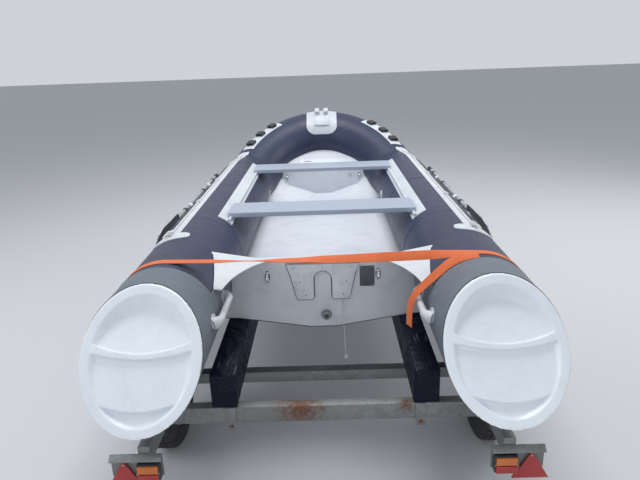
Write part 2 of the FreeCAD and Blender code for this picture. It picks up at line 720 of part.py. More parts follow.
def rope_face(side, radius, start):
    spot = around(Vec(side * OFFSET, station(start), AXIS_HEIGHT), Vec(side, 0, 0), Vec(0, 0, 1),
                  STRIP_TOP + CLEAR + ROPE,
                  size("rope_angle"))
    return Part.Face(Part.Wire(Part.makeCircle(radius, spot, Vec(0, 1, 0))))


def lifeline(side):
    return along_collar(side, rope_face(side, ROPE, STRIP_START + 30), STRIP_START + 30, STRIP_TURN - 1)


def rope_holders(side):
    """Loops that hold the rope: along the side tube, with the last one on the bow's shoulder."""
    count = int(size("holder_count"))
    step = (size("bend_station") - STRIP_START - 130) / (count - 1)
    angle = size("rope_angle")
    bore = rope_face(side, ROPE + CLEAR, STRIP_START - 60).extrude(Vec(0,
            BEND_Y - station(STRIP_START) + 60, 0))
    pieces = []
    for k in range(count):
        start = STRIP_START + 60 + k * step
        holder = side_band(side, start, start + 40, STRIP_TOP, STRIP_TOP + 2 * ROPE + 5, angle - 3.4,
                           angle + 3.4)
        pieces.append(holder.cut(bore))
    return pieces


def strip_with_holders(side):
    strip = lifeline_strip(side)
    for holder in rope_holders(side):
        strip = strip.fuse(holder)
    return strip


node("lifeline_strips", feature("lifeline_strips", both(strip_with_holders)))
node("lifelines", feature("lifelines", both(lifeline)))


# Rub strakes along the widest line of the collar
def rub_strake(side):
    start = size("strake_start")
    face = skin_face(side, start, REACH, REACH + size("strake_wall"), size("strake_low"), size("strake_high"))
    return along_collar(side, face, start, 90)


strakes = rub_strake(-1).fuse(rub_strake(1))
node("rub_strakes", feature("rub_strakes", largest(strakes)))


# Grip patches with three rubber loops on each shoulder of the bow
def grip_patch(side):
    return bow_band(side, size("grip_from"), size("grip_to"), REACH, STRIP_TOP, size("grip_low"),
                    size("grip_high"))


GRIP_FACE = STRIP_TOP


def grips(side):
    """Three moulded loops, each with two feet and a raised bar across."""
    loops = []
    middle = (size("grip_low") + size("grip_high")) / 2
    span = (size("grip_to") - size("grip_from")) / 3.0
    for k in range(3):
        turn = size("grip_from") + span * (k + 0.5)
        loop = bow_band(side, turn - 1.7, turn + 1.7, GRIP_FACE, GRIP_FACE + 26, middle - 9, middle + 9)
        hole = bow_band(side, turn - 2.2, turn + 2.2, GRIP_FACE + 6, GRIP_FACE + 18, middle - 5, middle + 5)
        loops.append(loop.cut(hole))
    return loops


node("grip_patches", feature("grip_patches", both(grip_patch)))
node("grips", feature("grips", Part.makeCompound(grips(-1) + grips(1))))

# Bow fairlead: a moulded pad over the nose with a platform and two horns
NOSE = BOWS[1].frame(90)


def nose_block(width, low_radius, high_radius, low, high):
    face = band_face(*NOSE, low_radius, high_radius, low, high)
    shape = face.extrude(Vec(width, 0, 0))
    shape.translate(Vec(-width / 2.0, 0, 0))
    return shape


FAIR_LOW, FAIR_HIGH = size("fairlead_low"), size("fairlead_high")
FAIR_TOP = REACH + size("fairlead_wall")


def fairlead_pad():
    """The welded pad: as wide as the fairlead, with rounded lower corners."""
    face = band_face(*NOSE, REACH - 8, FAIR_TOP, FAIR_LOW, FAIR_HIGH)
    face.rotate(BOWS[1].centre_two, BOWS[1].upward, -30)
    skin = face.revolve(BOWS[1].centre_two, BOWS[1].upward, 60)
    middle, outward, upward = NOSE
    half_turn = math.radians((FAIR_LOW + FAIR_HIGH) / 2)
    out = outward * math.sin(half_turn) + upward * math.cos(half_turn)
    down = upward * math.sin(half_turn) - outward * math.cos(half_turn)
    half, low, cut = size("fairlead_width") / 2, FAIR_TOP * math.sin(math.radians(FAIR_HIGH
            - FAIR_LOW) / 2), 60
    spot = lambda a, b: middle + Vec(a, 0, 0) + down * b
    diagonal = cut * (1 - math.sqrt(0.5))
    corners = [
        Part.makeLine(spot(-half, -2 * low), spot(half, -2 * low)),
        Part.makeLine(spot(half, -2 * low), spot(half, low - cut)),
        Part.Arc(spot(half, low - cut), spot(half - diagonal, low - diagonal),
                 spot(half - cut, low)).toShape(),
        Part.makeLine(spot(half - cut, low), spot(cut - half, low)),
        Part.Arc(spot(cut - half, low), spot(diagonal - half, low - diagonal),
                 spot(-half, low - cut)).toShape(),
        Part.makeLine(spot(-half, low - cut), spot(-half, -2 * low)),
    ]
    prism = Part.Face(Part.Wire(corners)).extrude(out * 400)
    return skin.common(prism)


platform = nose_block(150, REACH - 4, REACH + 22, -34, 12)
horns = nose_block(130, REACH + 18, REACH + 56, -4, 10)
notch = nose_block(44, REACH + 24, REACH + 90, -12, 20)
fairlead = largest(fairlead_pad().fuse(platform).fuse(horns.cut(notch)).cut(bow_tube(REACH)))
node("bow_fairlead", feature("bow_fairlead", fairlead))


# Carry handles on the inner flanks at the stern
def carry_handle(side):
    middle = size("handle_station")
    angle = size("handle_angle")
    reach = outer + CLEAR
    half = size("handle_length") / 2
    base = side_band(side, middle - half, middle + half, reach, reach + 5, angle - 9, angle + 9)
    grip = side_band(side, middle - half + 30, middle + half - 30, reach + 5, reach + 44, angle - 5,
                     angle + 5)
    gap = side_band(side, middle - half + 80, middle + half - 80, reach + 5, reach + 26, angle - 8, angle + 8)
    return base.fuse(grip.cut(gap))


node("carry_handles", feature("carry_handles", both(carry_handle)))


# Oars stowed in clips along the outer shoulders
def oar(side):
    shaft = size("oar_shaft_radius")
    reach = REACH + 14 + shaft
    y = station(size("oar_tip") + size("oar_blade"))
    spot = around(Vec(side * OFFSET, y, AXIS_HEIGHT), Vec(side, 0, 0), Vec(0, 0, 1), reach, size("oar_angle"))
    length = size("oar_length") - size("oar_blade")
    body = Part.makeCylinder(shaft, length, spot, Vec(0, 1, 0))
    for at in (0.05, 0.42, 0.5):
        body = body.fuse(Part.makeCylinder(shaft + 3, 45, spot + Vec(0, length * at, 0), Vec(0, 1, 0)))
    blade_length = size("oar_blade")
    half = size("blade_half")
    out = Vec(0, 0, 1)
    outline = [(0, -shaft * 0.8), (-120, -half), (-blade_length + 40, -half - 8), (-blade_length, -half + 20),
               (-blade_length, half - 20), (-blade_length + 40, half + 8), (-120, half), (0, shaft * 0.8)]
    points = [Vec(spot.x, spot.y + a + 20, spot.z) + out * b for a, b in outline]
    blade = Part.Face(Part.makePolygon(points + points[:1])).extrude(Vec(6, 0, 0))
    blade.translate(Vec(-3, 0, 0))
    blade.rotate(spot, Vec(0, 1, 0), side * (size("oar_angle") - 90))
    return body.fuse(blade)


def oar_clips(side):
    shaft = size("oar_shaft_radius") + 3
    reach = REACH + 14 + size("oar_shaft_radius")
    clips = []
    for share in (0.22, 0.68):
        y = size("oar_tip") + size("oar_blade") + share * (size("oar_length") - size("oar_blade"))
        clip = side_band(side, y - 22, y + 22, REACH, reach + 6, size("oar_angle") - 5.2,
                         size("oar_angle") + 5.2)
        spot = around(Vec(side * OFFSET, station(y - 60), AXIS_HEIGHT), Vec(side, 0, 0), Vec(0, 0, 1),
                      reach, size("oar_angle"))
        clips.append(clip.cut(Part.makeCylinder(shaft - 3 + CLEAR, 120, spot, Vec(0, 1, 0))))
    return clips


for side, word in SIDES:
    node("oar_" + word, feature("oar_" + word, oar(side)))
node("oar_clips", feature("oar_clips", Part.makeCompound(oar_clips(-1) + oar_clips(1))))

# Webbing strap over both stern tubes, down to hooks on the trailer's side beams
STRAP_R = REACH
STRAP_OUT = STRAP_R + size("strap_wall")
HOOK_X = size("side_offset")
HOOK_Z = size("frame_top") + 24


def strap_half(side):
    """Half of the strap in its own plane: the hook's run, the wrap and half of the straight span."""
    middle = Vec(side * OFFSET, station(size("strap_station") - size("strap_width") / 2), AXIS_HEIGHT)
    hook = Vec(side * HOOK_X, middle.y, HOOK_Z)
    toward = hook - middle
    gap = toward.Length
    lean = math.degrees(math.atan2(side * toward.x, toward.z))
    touch = lean - math.degrees(math.acos(STRAP_R / gap))
    spot = lambda r, d: around(middle, Vec(side, 0, 0), Vec(0, 0, 1), r, d)
    low = spot(STRAP_R, touch)
    high = spot(STRAP_OUT, touch)
    edges = [
        Part.makeLine(hook, low),
        Part.Arc(low, spot(STRAP_R, touch / 2), spot(STRAP_R, 0)).toShape(),
        Part.makeLine(spot(STRAP_R, 0), Vec(0, middle.y, AXIS_HEIGHT + STRAP_R)),
        Part.makeLine(Vec(0, middle.y, AXIS_HEIGHT + STRAP_R), Vec(0, middle.y, AXIS_HEIGHT + STRAP_OUT)),
        Part.makeLine(Vec(0, middle.y, AXIS_HEIGHT + STRAP_OUT), spot(STRAP_OUT, 0)),
        Part.Arc(spot(STRAP_OUT, 0), spot(STRAP_OUT, touch / 2), high).toShape(),
        Part.makeLine(high, hook + (high - low)),
        Part.makeLine(hook + (high - low), hook),
    ]
    return Part.Face(Part.Wire(Part.__sortEdges__(edges))).extrude(Vec(0, size("strap_width"), 0))


strap = strap_half(-1).fuse(strap_half(1))
hooks = []
for side, word in SIDES:
    y = station(size("strap_station"))
    hook = Part.makeBox(34, size("strap_width") + 6, HOOK_Z - size("frame_top") + 6,
                        Vec(side * HOOK_X - 17, y - size("strap_width") / 2 - 3, size("frame_top")))
    hooks.append(hook.cut(strap))
node("tie_strap", feature("tie_strap", strap))
node("strap_hooks", feature("strap_hooks", Part.makeCompound([largest(h) for h in hooks])))


# Loose tail of the strap: over the starboard tube's inner shoulder, then hanging free
def strap_tail():
    width, wall = size("strap_width"), size("strap_wall")
    reach = REACH + CLEAR
    leaves = size("tail_leaves")
    middle = Vec(OFFSET, station(size("tail_station") - width / 2), AXIS_HEIGHT)
    spot = lambda r: around(middle, Vec(1, 0, 0), Vec(0, 0, 1), r, leaves)
    near, far = spot(reach), spot(reach + wall)
    turn = math.radians(leaves)
    slope = math.sin(turn) / math.cos(turn)
    low, high = size("tail_offset"), size("tail_offset") - wall
    fold = Vec(low, near.y, near.z + slope * (near.x - low))
    crest = Vec(high, far.y, far.z + slope * (far.x - high))
    end = size("tail_end")
    corners = [near, fold, Vec(low, near.y, end), Vec(high, near.y, end), crest, far]
    over = band_face(middle, Vec(1, 0, 0), Vec(0, 0, 1), reach, reach + wall, leaves,
                     -4).extrude(Vec(0, width, 0))
    return over.fuse(Part.Face(Part.makePolygon(corners + corners[:1])).extrude(Vec(0, width, 0)))


node("strap_tail", feature("strap_tail", strap_tail()))


def cord_tube(points, radius):
    """A tube of straight runs joined by tangent arcs; returns it and the arcs' radii."""
    edges, radii = [], []
    here = points[0]
    for before, corner, after in zip(points, points[1:], points[2:]):
        back, ahead = (before - corner), (after - corner)
        turn = math.pi - back.getAngle(ahead)
        bend = 0.45 * min(back.Length, ahead.Length) / math.tan(turn / 2)
        cut = bend * math.tan(turn / 2)
        enter = corner + back.normalize() * cut
        leave = corner + ahead.normalize() * cut
        bisector = (back + ahead).normalize()
        centre = corner + bisector * (bend / math.cos(turn / 2))
        middle = centre - bisector * bend
        edges.append(Part.makeLine(here, enter))
        edges.append(Part.Arc(enter, middle, leave).toShape())
        radii.append(bend)
        here = leave
    edges.append(Part.makeLine(here, points[-1]))
    wire = Part.Wire(edges)
    ring = Part.Wire(Part.makeCircle(radius, points[0], (points[1] - points[0])))
    return wire.makePipeShell([ring], True, False), radii, wire.Length


# Thin cord hanging from the motor pad, with a knot at its end; columns: x, distance aft of the transom, height
STRING_ROUTE = [
    (104, 6, 799.6), (105, 13, 752), (102, 20, 697), (104, 27, 640), (108, 24, 584), (106, 31, 528),
    (110, 29, 478),
]
string_points = [Vec(x, TRANSOM_Y - aft, z) for x, aft, z in STRING_ROUTE]
string_tube, string_radii, string_length = cord_tube(string_points, size("string_radius"))
print("string arcs, mm:", [round(r) for r in string_radii], "length %.0f" % string_length)
node("tie_string", feature("tie_string", string_tube))
knot_middle = string_points[-1] + Vec(0, 0, -7.2)
node("string_knot", feature("string_knot", Part.makeSphere(7, knot_middle)))

# Trailer frame: two bent beams that meet at the coupling
NOSE_Y = size("overall_length") / 2 - size("coupling_length")
BEAM_LOW = size("frame_top") - size("beam_deep")


def frame_side(side):
    wide = size("beam_wide") / 2
    near = side * size("side_offset")
    bend_y = station(size("side_end"))
    inner_nose, outer_nose = 1.0, 1.0 + 2 * wide
    inner = [(near - side * wide, station(size("board_station"))), (near - side * wide, bend_y),
             (side * inner_nose, NOSE_Y)]
    outer_line = [(side * outer_nose, NOSE_Y), (near + side * wide, bend_y),
                  (near + side * wide, station(size("board_station")))]
    corners = [Vec(x, y, BEAM_LOW) for x, y in inner + outer_line]
    return Part.Face(Part.makePolygon(corners + corners[:1])).extrude(Vec(0, 0, size("beam_deep")))


for side, word in SIDES:
    node("frame_" + word, feature("frame_" + word, frame_side(side)))


def frame_inner_x(where):
    """Half the gap between the two beams at a station of the tapering part."""
    share = (station(where) - station(size("side_end"))) / (NOSE_Y - station(size("side_end")))
    full = size("side_offset") - size("beam_wide") / 2
    return full + (1.0 - full) * share


def cross_plate(where, wide, deep, top):
    """A cross member cut to the slope of the tapering beams."""
    near, far = frame_inner_x(where - wide / 2.0), frame_inner_x(where + wide / 2.0)
    y0, y1 = station(where - wide / 2.0), station(where + wide / 2.0)
    corners = [Vec(-near, y0, top - deep), Vec(near, y0, top - deep), Vec(far, y1, top - deep),
               Vec(-far, y1, top - deep)]
    return Part.Face(Part.makePolygon(corners + corners[:1])).extrude(Vec(0, 0, deep))


CROSS_LENGTH = "2 * side_offset - beam_wide"
cross_rear = block("cross_rear", CROSS_LENGTH, "beam_wide", "beam_deep", "0", "cross_station",
                   "frame_top - beam_deep")
cross_mid = block("cross_mid", CROSS_LENGTH, "beam_wide", "beam_deep", "0", "side_end - 100",
                  "frame_top - beam_deep")
cross_post = feature("cross_post", cross_plate(size("post_station"), 80, size("beam_deep"),
                                               size("frame_top")))
node("crossbeams", grouped("crossbeams", [cross_rear, cross_mid, cross_post]))


# Bunks: long padded bearers under the chines, seated on the crossbeams
def bunk(side):
    half = size("bunk_width") / 2
    y = station(size("bunk_start"))
    x = side * size("bunk_offset")
    low = size("frame_top")
    outline = [(-half, 0), (half, 0), (half, 190), (-half, 190)]
    pts = [Vec(x + side * a, y, low + b) for a, b in outline]
    solid = Part.Face(Part.makePolygon(pts + pts[:1])).extrude(Vec(0, station(size("bunk_end")) - y, 0))
    under = Part.makeLoft([section(row, False) for row in lowered(SECTIONS, size("seat_gap"))], True, True)
    sky = Part.makeBox(1400, 4000, 400, Vec(-700, y - 100, low + size("bunk_deep")))
    return largest(solid.cut(under).cut(sky))


def lowered(rows, drop):
    first = rows[0]
    aft = (300,) + first[1:]
    return [(r[0], r[1], r[2] - drop, r[3], r[4] - drop, r[5], r[6] - drop) for r in [aft] + rows]


node("bunks", feature("bunks", both(bunk)))
brackets = []
for side, word in SIDES:
    for where in ("cross_station - beam_wide / 2 - 2.5", "side_end - 100 + beam_wide / 2 + 2.5"):
        brackets.append(block("bracket_%s_%d" % (word, len(brackets)), "45", "5", "115",
                              "%d * (bunk_offset - 25)" % side, where,
                              "frame_top - 115"))
node("bunk_brackets", grouped("bunk_brackets", brackets))

# Axle beam, hangers, trailing arms and stub axles
axle_parts = [block("axle_tube", "2 * side_offset + 20", "axle_beam", "axle_beam", "0", "axle_station",
                    "axle_height - axle_beam / 2")]
for side, word in SIDES:
    axle_parts.append(block("hanger_" + word, "44", "70",
                            "frame_top - beam_deep - axle_height - axle_beam / 2",
                            "%d * side_offset" % side, "axle_station", "axle_height + axle_beam / 2"))
    arm_low = Vec(side * (size("side_offset") + 10), station(size("axle_station")), size("axle_height"))
    arm_end = Vec(arm_low.x, station(size("wheel_station")), size("tyre_radius"))
    along = arm_end - arm_low
    across = Vec(0, -along.z, along.y).normalize() * 28
    corners = [arm_low + across - along * 0.3, arm_end + across * 0.8 + along * 0.25,
               arm_end - across * 0.8 + along * 0.25,
               arm_low - across - along * 0.3]
    arm = Part.Face(Part.makePolygon(corners + corners[:1])).extrude(Vec(side * 16, 0, 0))
    axle_parts.append(feature("arm_" + word, arm))
    axle_parts.append(rod("stub_" + word, "stub_radius", "78", "%d * (side_offset + 24)" % side,
                          "wheel_station", "tyre_radius",
                          (side, 0, 0)))
node("axle", joined("axle", axle_parts))

# Road wheels
for side, word in SIDES:
    w = size("tyre_width") / 2
    r = size("tyre_radius")
    rim = size("rim_radius")
    bore = size("stub_radius") + size("bearing_gap")
    tyre_outline = [(rim, -w + 22), (rim + 14, -w + 6), (r - 55, -w), (r - 16, -w + 9), (r, -w + 28),
                    (r, w - 28), (r - 16, w - 9),
                    (r - 55, w), (rim + 14, w - 6), (rim, w - 22)]
    turn = FreeCAD.Rotation(Vec(0, 0, 1), Vec(side, 0, 0))
    tyre = revolved("tyre_" + word, "XZ_Plane", tyre_outline, "V_Axis")
    node("tyre_" + word, place(tyre, "%d * wheel_offset" % side, "wheel_station", "tyre_radius", turn))
    rim_outline = [(bore, -34), (42, -34), (42, 4), (78, 10), (104, 20), (rim - 30, 12),
                   (rim - 30, -w + 30), (rim - 8, -w + 14),
                   (rim - CLEAR, -w + 14), (rim - CLEAR, -w + 26), (rim - 22, -w + 40), (rim - 22, w - 40),
                   (rim - CLEAR, w - 26),
                   (rim - CLEAR, w - 14), (rim - 8, w - 14), (rim - 30, w - 30), (rim - 30, 20), (104, 28),
                   (78, 18), (52, 12),
                   (52, 40), (bore, 40)]
    wheel = revolved("rim_" + word, "XZ_Plane", rim_outline, "V_Axis")
    node("rim_" + word, place(wheel, "%d * wheel_offset" % side, "wheel_station", "tyre_radius", turn))


# Mudguards: rolled sheet over each wheel with stays to the side beams
def mudguard(side):
    inner = size("tyre_radius") + size("guard_gap")
    wall = size("guard_wall")
    inboard = side * (size("side_offset") + size("beam_wide") / 2 + 1)
    middle = Vec(inboard, station(size("wheel_station")), size("tyre_radius"))
    shell = band_face(middle, Vec(0, -1, 0), Vec(0, 0, 1), inner, inner + wall, -82, 82)
    width = size("guard_width")
    shell = shell.extrude(Vec(side * width, 0, 0))
    stays = []
    for where in (-150, 150):
        y = middle.y + where
        drop = math.sqrt(inner ** 2 - where ** 2) + size("tyre_radius")
        edge = side * (size("side_offset") - 16)
        stay = Part.makeBox(abs(inboard + side * 30 - edge), 30, 4,
                            Vec(min(edge, inboard + side * 30), y - 15, size("frame_top")))
        post = Part.makeBox(4, 30, max(4.0, drop + 6 - size("frame_top")),
                            Vec(min(inboard, inboard + side * 4), y - 15, size("frame_top")))
        stays.append(stay.fuse(post))
    guard = shell
    for stay in stays:
        guard = guard.fuse(stay)
    lip = band_face(middle, Vec(0, -1, 0), Vec(0, 0, 1), inner - 16, inner + wall, -82,
                    82).extrude(Vec(side * 3, 0, 0))
    lip.translate(Vec(side * (width - 3), 0, 0))
    return guard.fuse(lip)


node("mudguards", feature("mudguards", both(mudguard)))

# Lamp boards, lamps and triangular reflectors
boards, lamps, reflectors = [], [], []
for side, word in SIDES:
    panel = block("board_" + word, "board_width", "board_wall", "board_depth", "%d * board_offset" % side,
                  "board_station - board_wall / 2", "board_top - board_depth")
    flange = Part.makeBox(size("board_width"), 34, 3, Vec(-size("board_width") / 2, -34, -1))
    flange.rotate(Vec(0, 0, 0), Vec(1, 0, 0), size("flange_tilt"))
    flange.translate(Vec(side * size("board_offset"), station(size("board_station") - 0.5),
                         size("board_top")))
    boards.append(joined("panel_" + word, [panel, feature("flange_" + word, flange)]))
    lamps.append(block("lamp_" + word, "96", "34", "76", "%d * (board_offset - 52)" % side,
                       "board_station - board_wall - 17",
                       "board_top - board_depth - 4"))
    apex = size("triangle_side") * math.sqrt(3) / 2
    tri = [(-size("triangle_side") / 2, -apex), (size("triangle_side") / 2, -apex), (0, 0)]
    reflector = padded("reflector_" + word, "XZ_Plane", tri, "9")
    place(reflector, "%d * (board_offset + 56)" % side, "board_station - board_wall", "board_top - 26")
    reflectors.append(reflector)
node("lamp_boards", grouped("lamp_boards", boards))
node("lamps", grouped("lamps", lamps))
node("reflectors", grouped("reflectors", reflectors))

# Winch post, bow stop and winch
POST_Y = station(size("post_station"))
post = block("post", "post_side", "post_side", "stop_height - frame_top", "0", "post_station", "frame_top")
arm = block("post_arm", "40", "62", "40", "0", "post_station - post_side / 2 - 31", "stop_height - 46")
node("winch_post", joined("winch_post", [post, arm]))
stop = Part.makeBox(150, 60, 90, Vec(-75, POST_Y - size("post_side") / 2 - 62 - 60, size("stop_height") - 72))
notch_cut = swept(BOWS[-1].path() + BOWS[1].path(), REACH + size("strake_wall") + 4 * SEAT)
node("bow_stop", feature("bow_stop", largest(stop.cut(notch_cut))))
WINCH_FOOT = "stop_height - winch_drop"
winch_parts = [
    block("winch_plate_left", "5", "110", "90", "-42", "post_station - 75", WINCH_FOOT),
    block("winch_plate_right", "5", "110", "90", "42", "post_station - 75", WINCH_FOOT),
    block("winch_base", "89", "6", "90", "0", "post_station - post_side / 2 - 3", WINCH_FOOT),
    rod("winch_drum", "28", "89", "-44.5", "post_station - 85", WINCH_FOOT + " + 45", (1, 0, 0)),
    rod("winch_shaft", "9", "70", "40", "post_station - 85", WINCH_FOOT + " + 45", (1, 0, 0)),
    block("winch_crank", "8", "24", "190", "106", "post_station - 85", WINCH_FOOT + " + 33"),
    rod("winch_knob", "14", "90", "102", "post_station - 85", WINCH_FOOT + " + 208", (1, 0, 0)),
]
node("winch", joined("winch", winch_parts))

# Coupling: a housing on the beams' nose with a ball socket under its head
COUPLING_Z = size("frame_top")
ball = size("ball_radius")
head_y = size("overall_length") / 2 - size("head_radius")
head = Part.makeCylinder(size("head_radius"), 62, Vec(0, head_y, COUPLING_Z - 30), Vec(0, 0, 1))
neck = Part.makeBox(56, head_y - NOSE_Y + 120, 44, Vec(-28, NOSE_Y - 120, COUPLING_Z))
coupling = head.fuse(neck)
coupling = coupling.cut(Part.makeCylinder(ball + 0.5, 30, Vec(0, head_y, COUPLING_Z - 31), Vec(0, 0, 1)))
coupling = coupling.cut(Part.makeSphere(ball + 0.5, Vec(0, head_y, COUPLING_Z - 1)))
lever = Part.makeBox(26, 150, 10, Vec(-13, head_y - 150, COUPLING_Z + 52))
lever_foot = Part.makeBox(26, 26, 22, Vec(-13, head_y - 26, COUPLING_Z + 31))
coupling = coupling.fuse(lever).fuse(lever_foot)
node("coupling", feature("coupling", coupling))

# Jockey wheel: clamp and stem, swivelling fork, wheel
JX = size("jockey_offset")
JY = station(size("jockey_station"))
JR = size("jockey_radius")
fork_top = 2 * JR + 40
TRAIL = size("jockey_trail")
stem = Part.makeCylinder(24, 470, Vec(JX, JY, fork_top + 60), Vec(0, 0, 1))
stem = stem.cut(Part.makeCylinder(18 + size("bearing_gap"), 300, Vec(JX, JY, fork_top + 50), Vec(0, 0, 1)))
stem = stem.fuse(Part.makeCylinder(5, 110, Vec(JX, JY, fork_top + 520), Vec(1, 0, 0)))
stem = stem.fuse(Part.makeCylinder(9, 70, Vec(JX + 105, JY, fork_top + 515), Vec(0, 0, 1)))
clamp = Part.makeBox(JX, 60, 50, Vec(0, JY - 30, BEAM_LOW + 5))
clamp = clamp.fuse(Part.makeCylinder(31, 50, Vec(JX, JY, BEAM_LOW + 5), Vec(0, 0, 1)))
clamp = clamp.cut(Part.makeCylinder(23.9, 80, Vec(JX, JY, BEAM_LOW - 10), Vec(0, 0, 1)))
clamp = clamp.cut(frame_side(1)).cut(frame_side(-1))
node("jockey_stem", feature("jockey_stem", largest(clamp.fuse(stem))))
wheel_half = size("jockey_width") / 2
fork = Part.makeCylinder(18, 300, Vec(JX, JY, fork_top + 30), Vec(0, 0, 1))
fork = fork.fuse(Part.makeBox(2 * wheel_half + 22, 44, 10,
                              Vec(JX - wheel_half - 11, JY - 22 - TRAIL / 2, fork_top + 20)))
for side, word in SIDES:
    cheek_x = JX + side * (wheel_half + 8) - 3
    cheek = [Vec(cheek_x, JY - 22 - TRAIL / 2, fork_top + 22),
             Vec(cheek_x, JY + 22 - TRAIL / 2, fork_top + 22),
             Vec(cheek_x, JY - TRAIL + 16, JR - 18), Vec(cheek_x, JY - TRAIL - 16, JR - 18)]
    fork = fork.fuse(Part.Face(Part.makePolygon(cheek + cheek[:1])).extrude(Vec(6, 0, 0)))
fork = fork.fuse(Part.makeCylinder(6, 2 * wheel_half + 30, Vec(JX - wheel_half - 15, JY - TRAIL, JR),
                                   Vec(1, 0, 0)))
node("jockey_fork", feature("jockey_fork", fork))
small_wheel = Part.makeCylinder(JR, 2 * wheel_half, Vec(JX - wheel_half, JY - TRAIL, JR), Vec(1, 0, 0))
small_wheel = small_wheel.makeFillet(12, [e for e in small_wheel.Edges if e.Closed])
small_wheel = small_wheel.cut(Part.makeCylinder(6 + size("bearing_gap"), 200, Vec(JX - 100, JY - TRAIL, JR),
                                                Vec(1, 0, 0)))
node("jockey_wheel", feature("jockey_wheel", small_wheel))

doc.recompute()
for thing in doc.Objects:
    if "Invalid" in thing.State or "Error" in thing.State:
        raise RuntimeError("%s did not compute: %s" % (thing.Label, thing.State))
for name, thing in NODES.items():
    shape = thing.Shape
    if shape.isNull() or not shape.isValid():
        raise RuntimeError("%s has no valid shape" % name)
whole = FreeCAD.BoundBox()
for name, thing in NODES.items():
    thing.Shape.exportStep("parts/%s.step" % name)
    whole.add(thing.Shape.BoundBox)
    print("%-16s solids %d  volume %.2f l" % (name, len(thing.Shape.Solids), thing.Shape.Volume / 1e6))
print("whole", whole)
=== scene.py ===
import json
import math
import bpy
import bmesh
from mathutils import Matrix, Vector


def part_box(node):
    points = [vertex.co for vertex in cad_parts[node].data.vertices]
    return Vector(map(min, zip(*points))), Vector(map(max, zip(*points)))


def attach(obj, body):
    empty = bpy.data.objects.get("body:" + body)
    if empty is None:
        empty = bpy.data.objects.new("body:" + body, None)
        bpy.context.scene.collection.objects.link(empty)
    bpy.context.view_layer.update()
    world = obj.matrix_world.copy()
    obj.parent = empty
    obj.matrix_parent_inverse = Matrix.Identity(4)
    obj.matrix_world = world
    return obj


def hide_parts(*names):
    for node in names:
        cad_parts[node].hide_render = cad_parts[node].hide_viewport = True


# Inflatable boat on its road trailer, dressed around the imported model.
# +Y is the bow and the tow coupling, +X is starboard, +Z is up, metres.

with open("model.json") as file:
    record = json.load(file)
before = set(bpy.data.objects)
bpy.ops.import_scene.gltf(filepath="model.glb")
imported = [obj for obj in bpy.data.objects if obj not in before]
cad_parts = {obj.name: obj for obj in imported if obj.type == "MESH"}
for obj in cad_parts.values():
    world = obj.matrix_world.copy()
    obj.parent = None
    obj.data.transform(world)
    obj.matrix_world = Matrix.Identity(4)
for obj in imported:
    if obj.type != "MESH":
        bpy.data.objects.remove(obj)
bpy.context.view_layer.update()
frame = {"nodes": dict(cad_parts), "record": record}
bodyOf = {node: body for body, nodes in frame["record"]["behaviour"]["bodies"].items() for node in nodes}
print("frame loaded:", len(bodyOf), "nodes")

tube = {"offset": 0.715, "height": 0.9, "radius": 0.24, "lengthHalf": 2.6}  # the collar's side tubes
bothSides = (-1, 1)
sideNames = ((-1, "left"), (1, "right"))
aft, fore, up = (0, -1, 0), (0, 1, 0), (0, 0, 1)


def at(station):  # Y of a distance forward of the stern
    return station - tube["lengthHalf"]


def newObject(name, data):
    made = bpy.data.objects.new(name, data)
    bpy.context.collection.objects.link(made)
    return made


def meshOf(bm, name):  # a bmesh is kept as mesh data and freed
    data = bpy.data.meshes.new(name)
    bm.to_mesh(data)
    bm.free()
    return data


def addNode(tree, kind, feeds, **settings):  # each input is fed by a socket or by a plain value
    made = tree.nodes.new("ShaderNode" + kind)
    for key, value in settings.items():
        setattr(made, key, value)
    for key, value in feeds.items():
        if isinstance(value, bpy.types.NodeSocket):
            tree.links.new(value, made.inputs[key])
        else:
            made.inputs[key].default_value = value
    return made.outputs


# camera at the photograph's viewing angle
cameraLook = {"place": (0.04, -4.356, 2.005), "down": 18.2, "roll": -2.1, "turn": 1.0, "sensor": 36,
              "focalPixels": 560, "imageWidth": 640}
cameraData = bpy.data.cameras.new("photoCamera")
cameraData.sensor_width = cameraLook["sensor"]
cameraData.lens = cameraLook["sensor"] * cameraLook["focalPixels"] / cameraLook["imageWidth"]
camera = newObject("photoCamera", cameraData)
camera.matrix_world = (Matrix.Translation(cameraLook["place"])
                       @ Matrix.Rotation(math.radians(cameraLook["turn"]), 4, "Z")
                       @ Matrix.Rotation(math.radians(90 - cameraLook["down"]), 4, "X")
                       @ Matrix.Rotation(math.radians(cameraLook["roll"]), 4, "Z"))
bpy.context.scene.camera = camera
bpy.context.scene.view_settings.view_transform = "Standard"

# pale floor, plain world and four soft lamps
studio = {
    "floorSize": 60, "floorColour": (0.66, 0.67, 0.69, 1), "floorRough": 0.85, "floorSpecular": 0.2,
    "backColour": (0.62, 0.64, 0.67, 1), "fillColour": (0.88, 0.93, 1.0, 1), "fill": 0.47,
    "lamps": [  # name, place, aims at, size, watts, colour
        ("skyPanel", (0.0, 0.3, 6.5), (0.0, 0.0, 0.5), 3.6, 240, (1.0, 1.0, 1.0)),
        ("portPanel", (-5.0, -3.5, 4.2), (0.0, -0.6, 0.8), 3.5, 80, (0.93, 0.96, 1.0)),
        ("starboardPanel", (5.2, 1.5, 3.8), (0.0, 0.2, 0.8), 3.0, 70, (1.0, 0.98, 0.95)),
        ("sternPanel", (0.6, -6.6, 1.9), (0.0, -1.8, 0.7), 3.0, 34, (1.0, 1.0, 1.0)),
    ],
}
bm = bmesh.new()
bmesh.ops.create_grid(bm, x_segments=1, y_segments=1, size=studio["floorSize"])
studioFloor = newObject("studioFloor", meshOf(bm, "studioFloor"))
floorMaterial = bpy.data.materials.new("paleFloor")
floorMaterial.use_nodes = True
floorShader = floorMaterial.node_tree.nodes["Principled BSDF"].inputs
floorShader["Base Color"].default_value = studio["floorColour"]
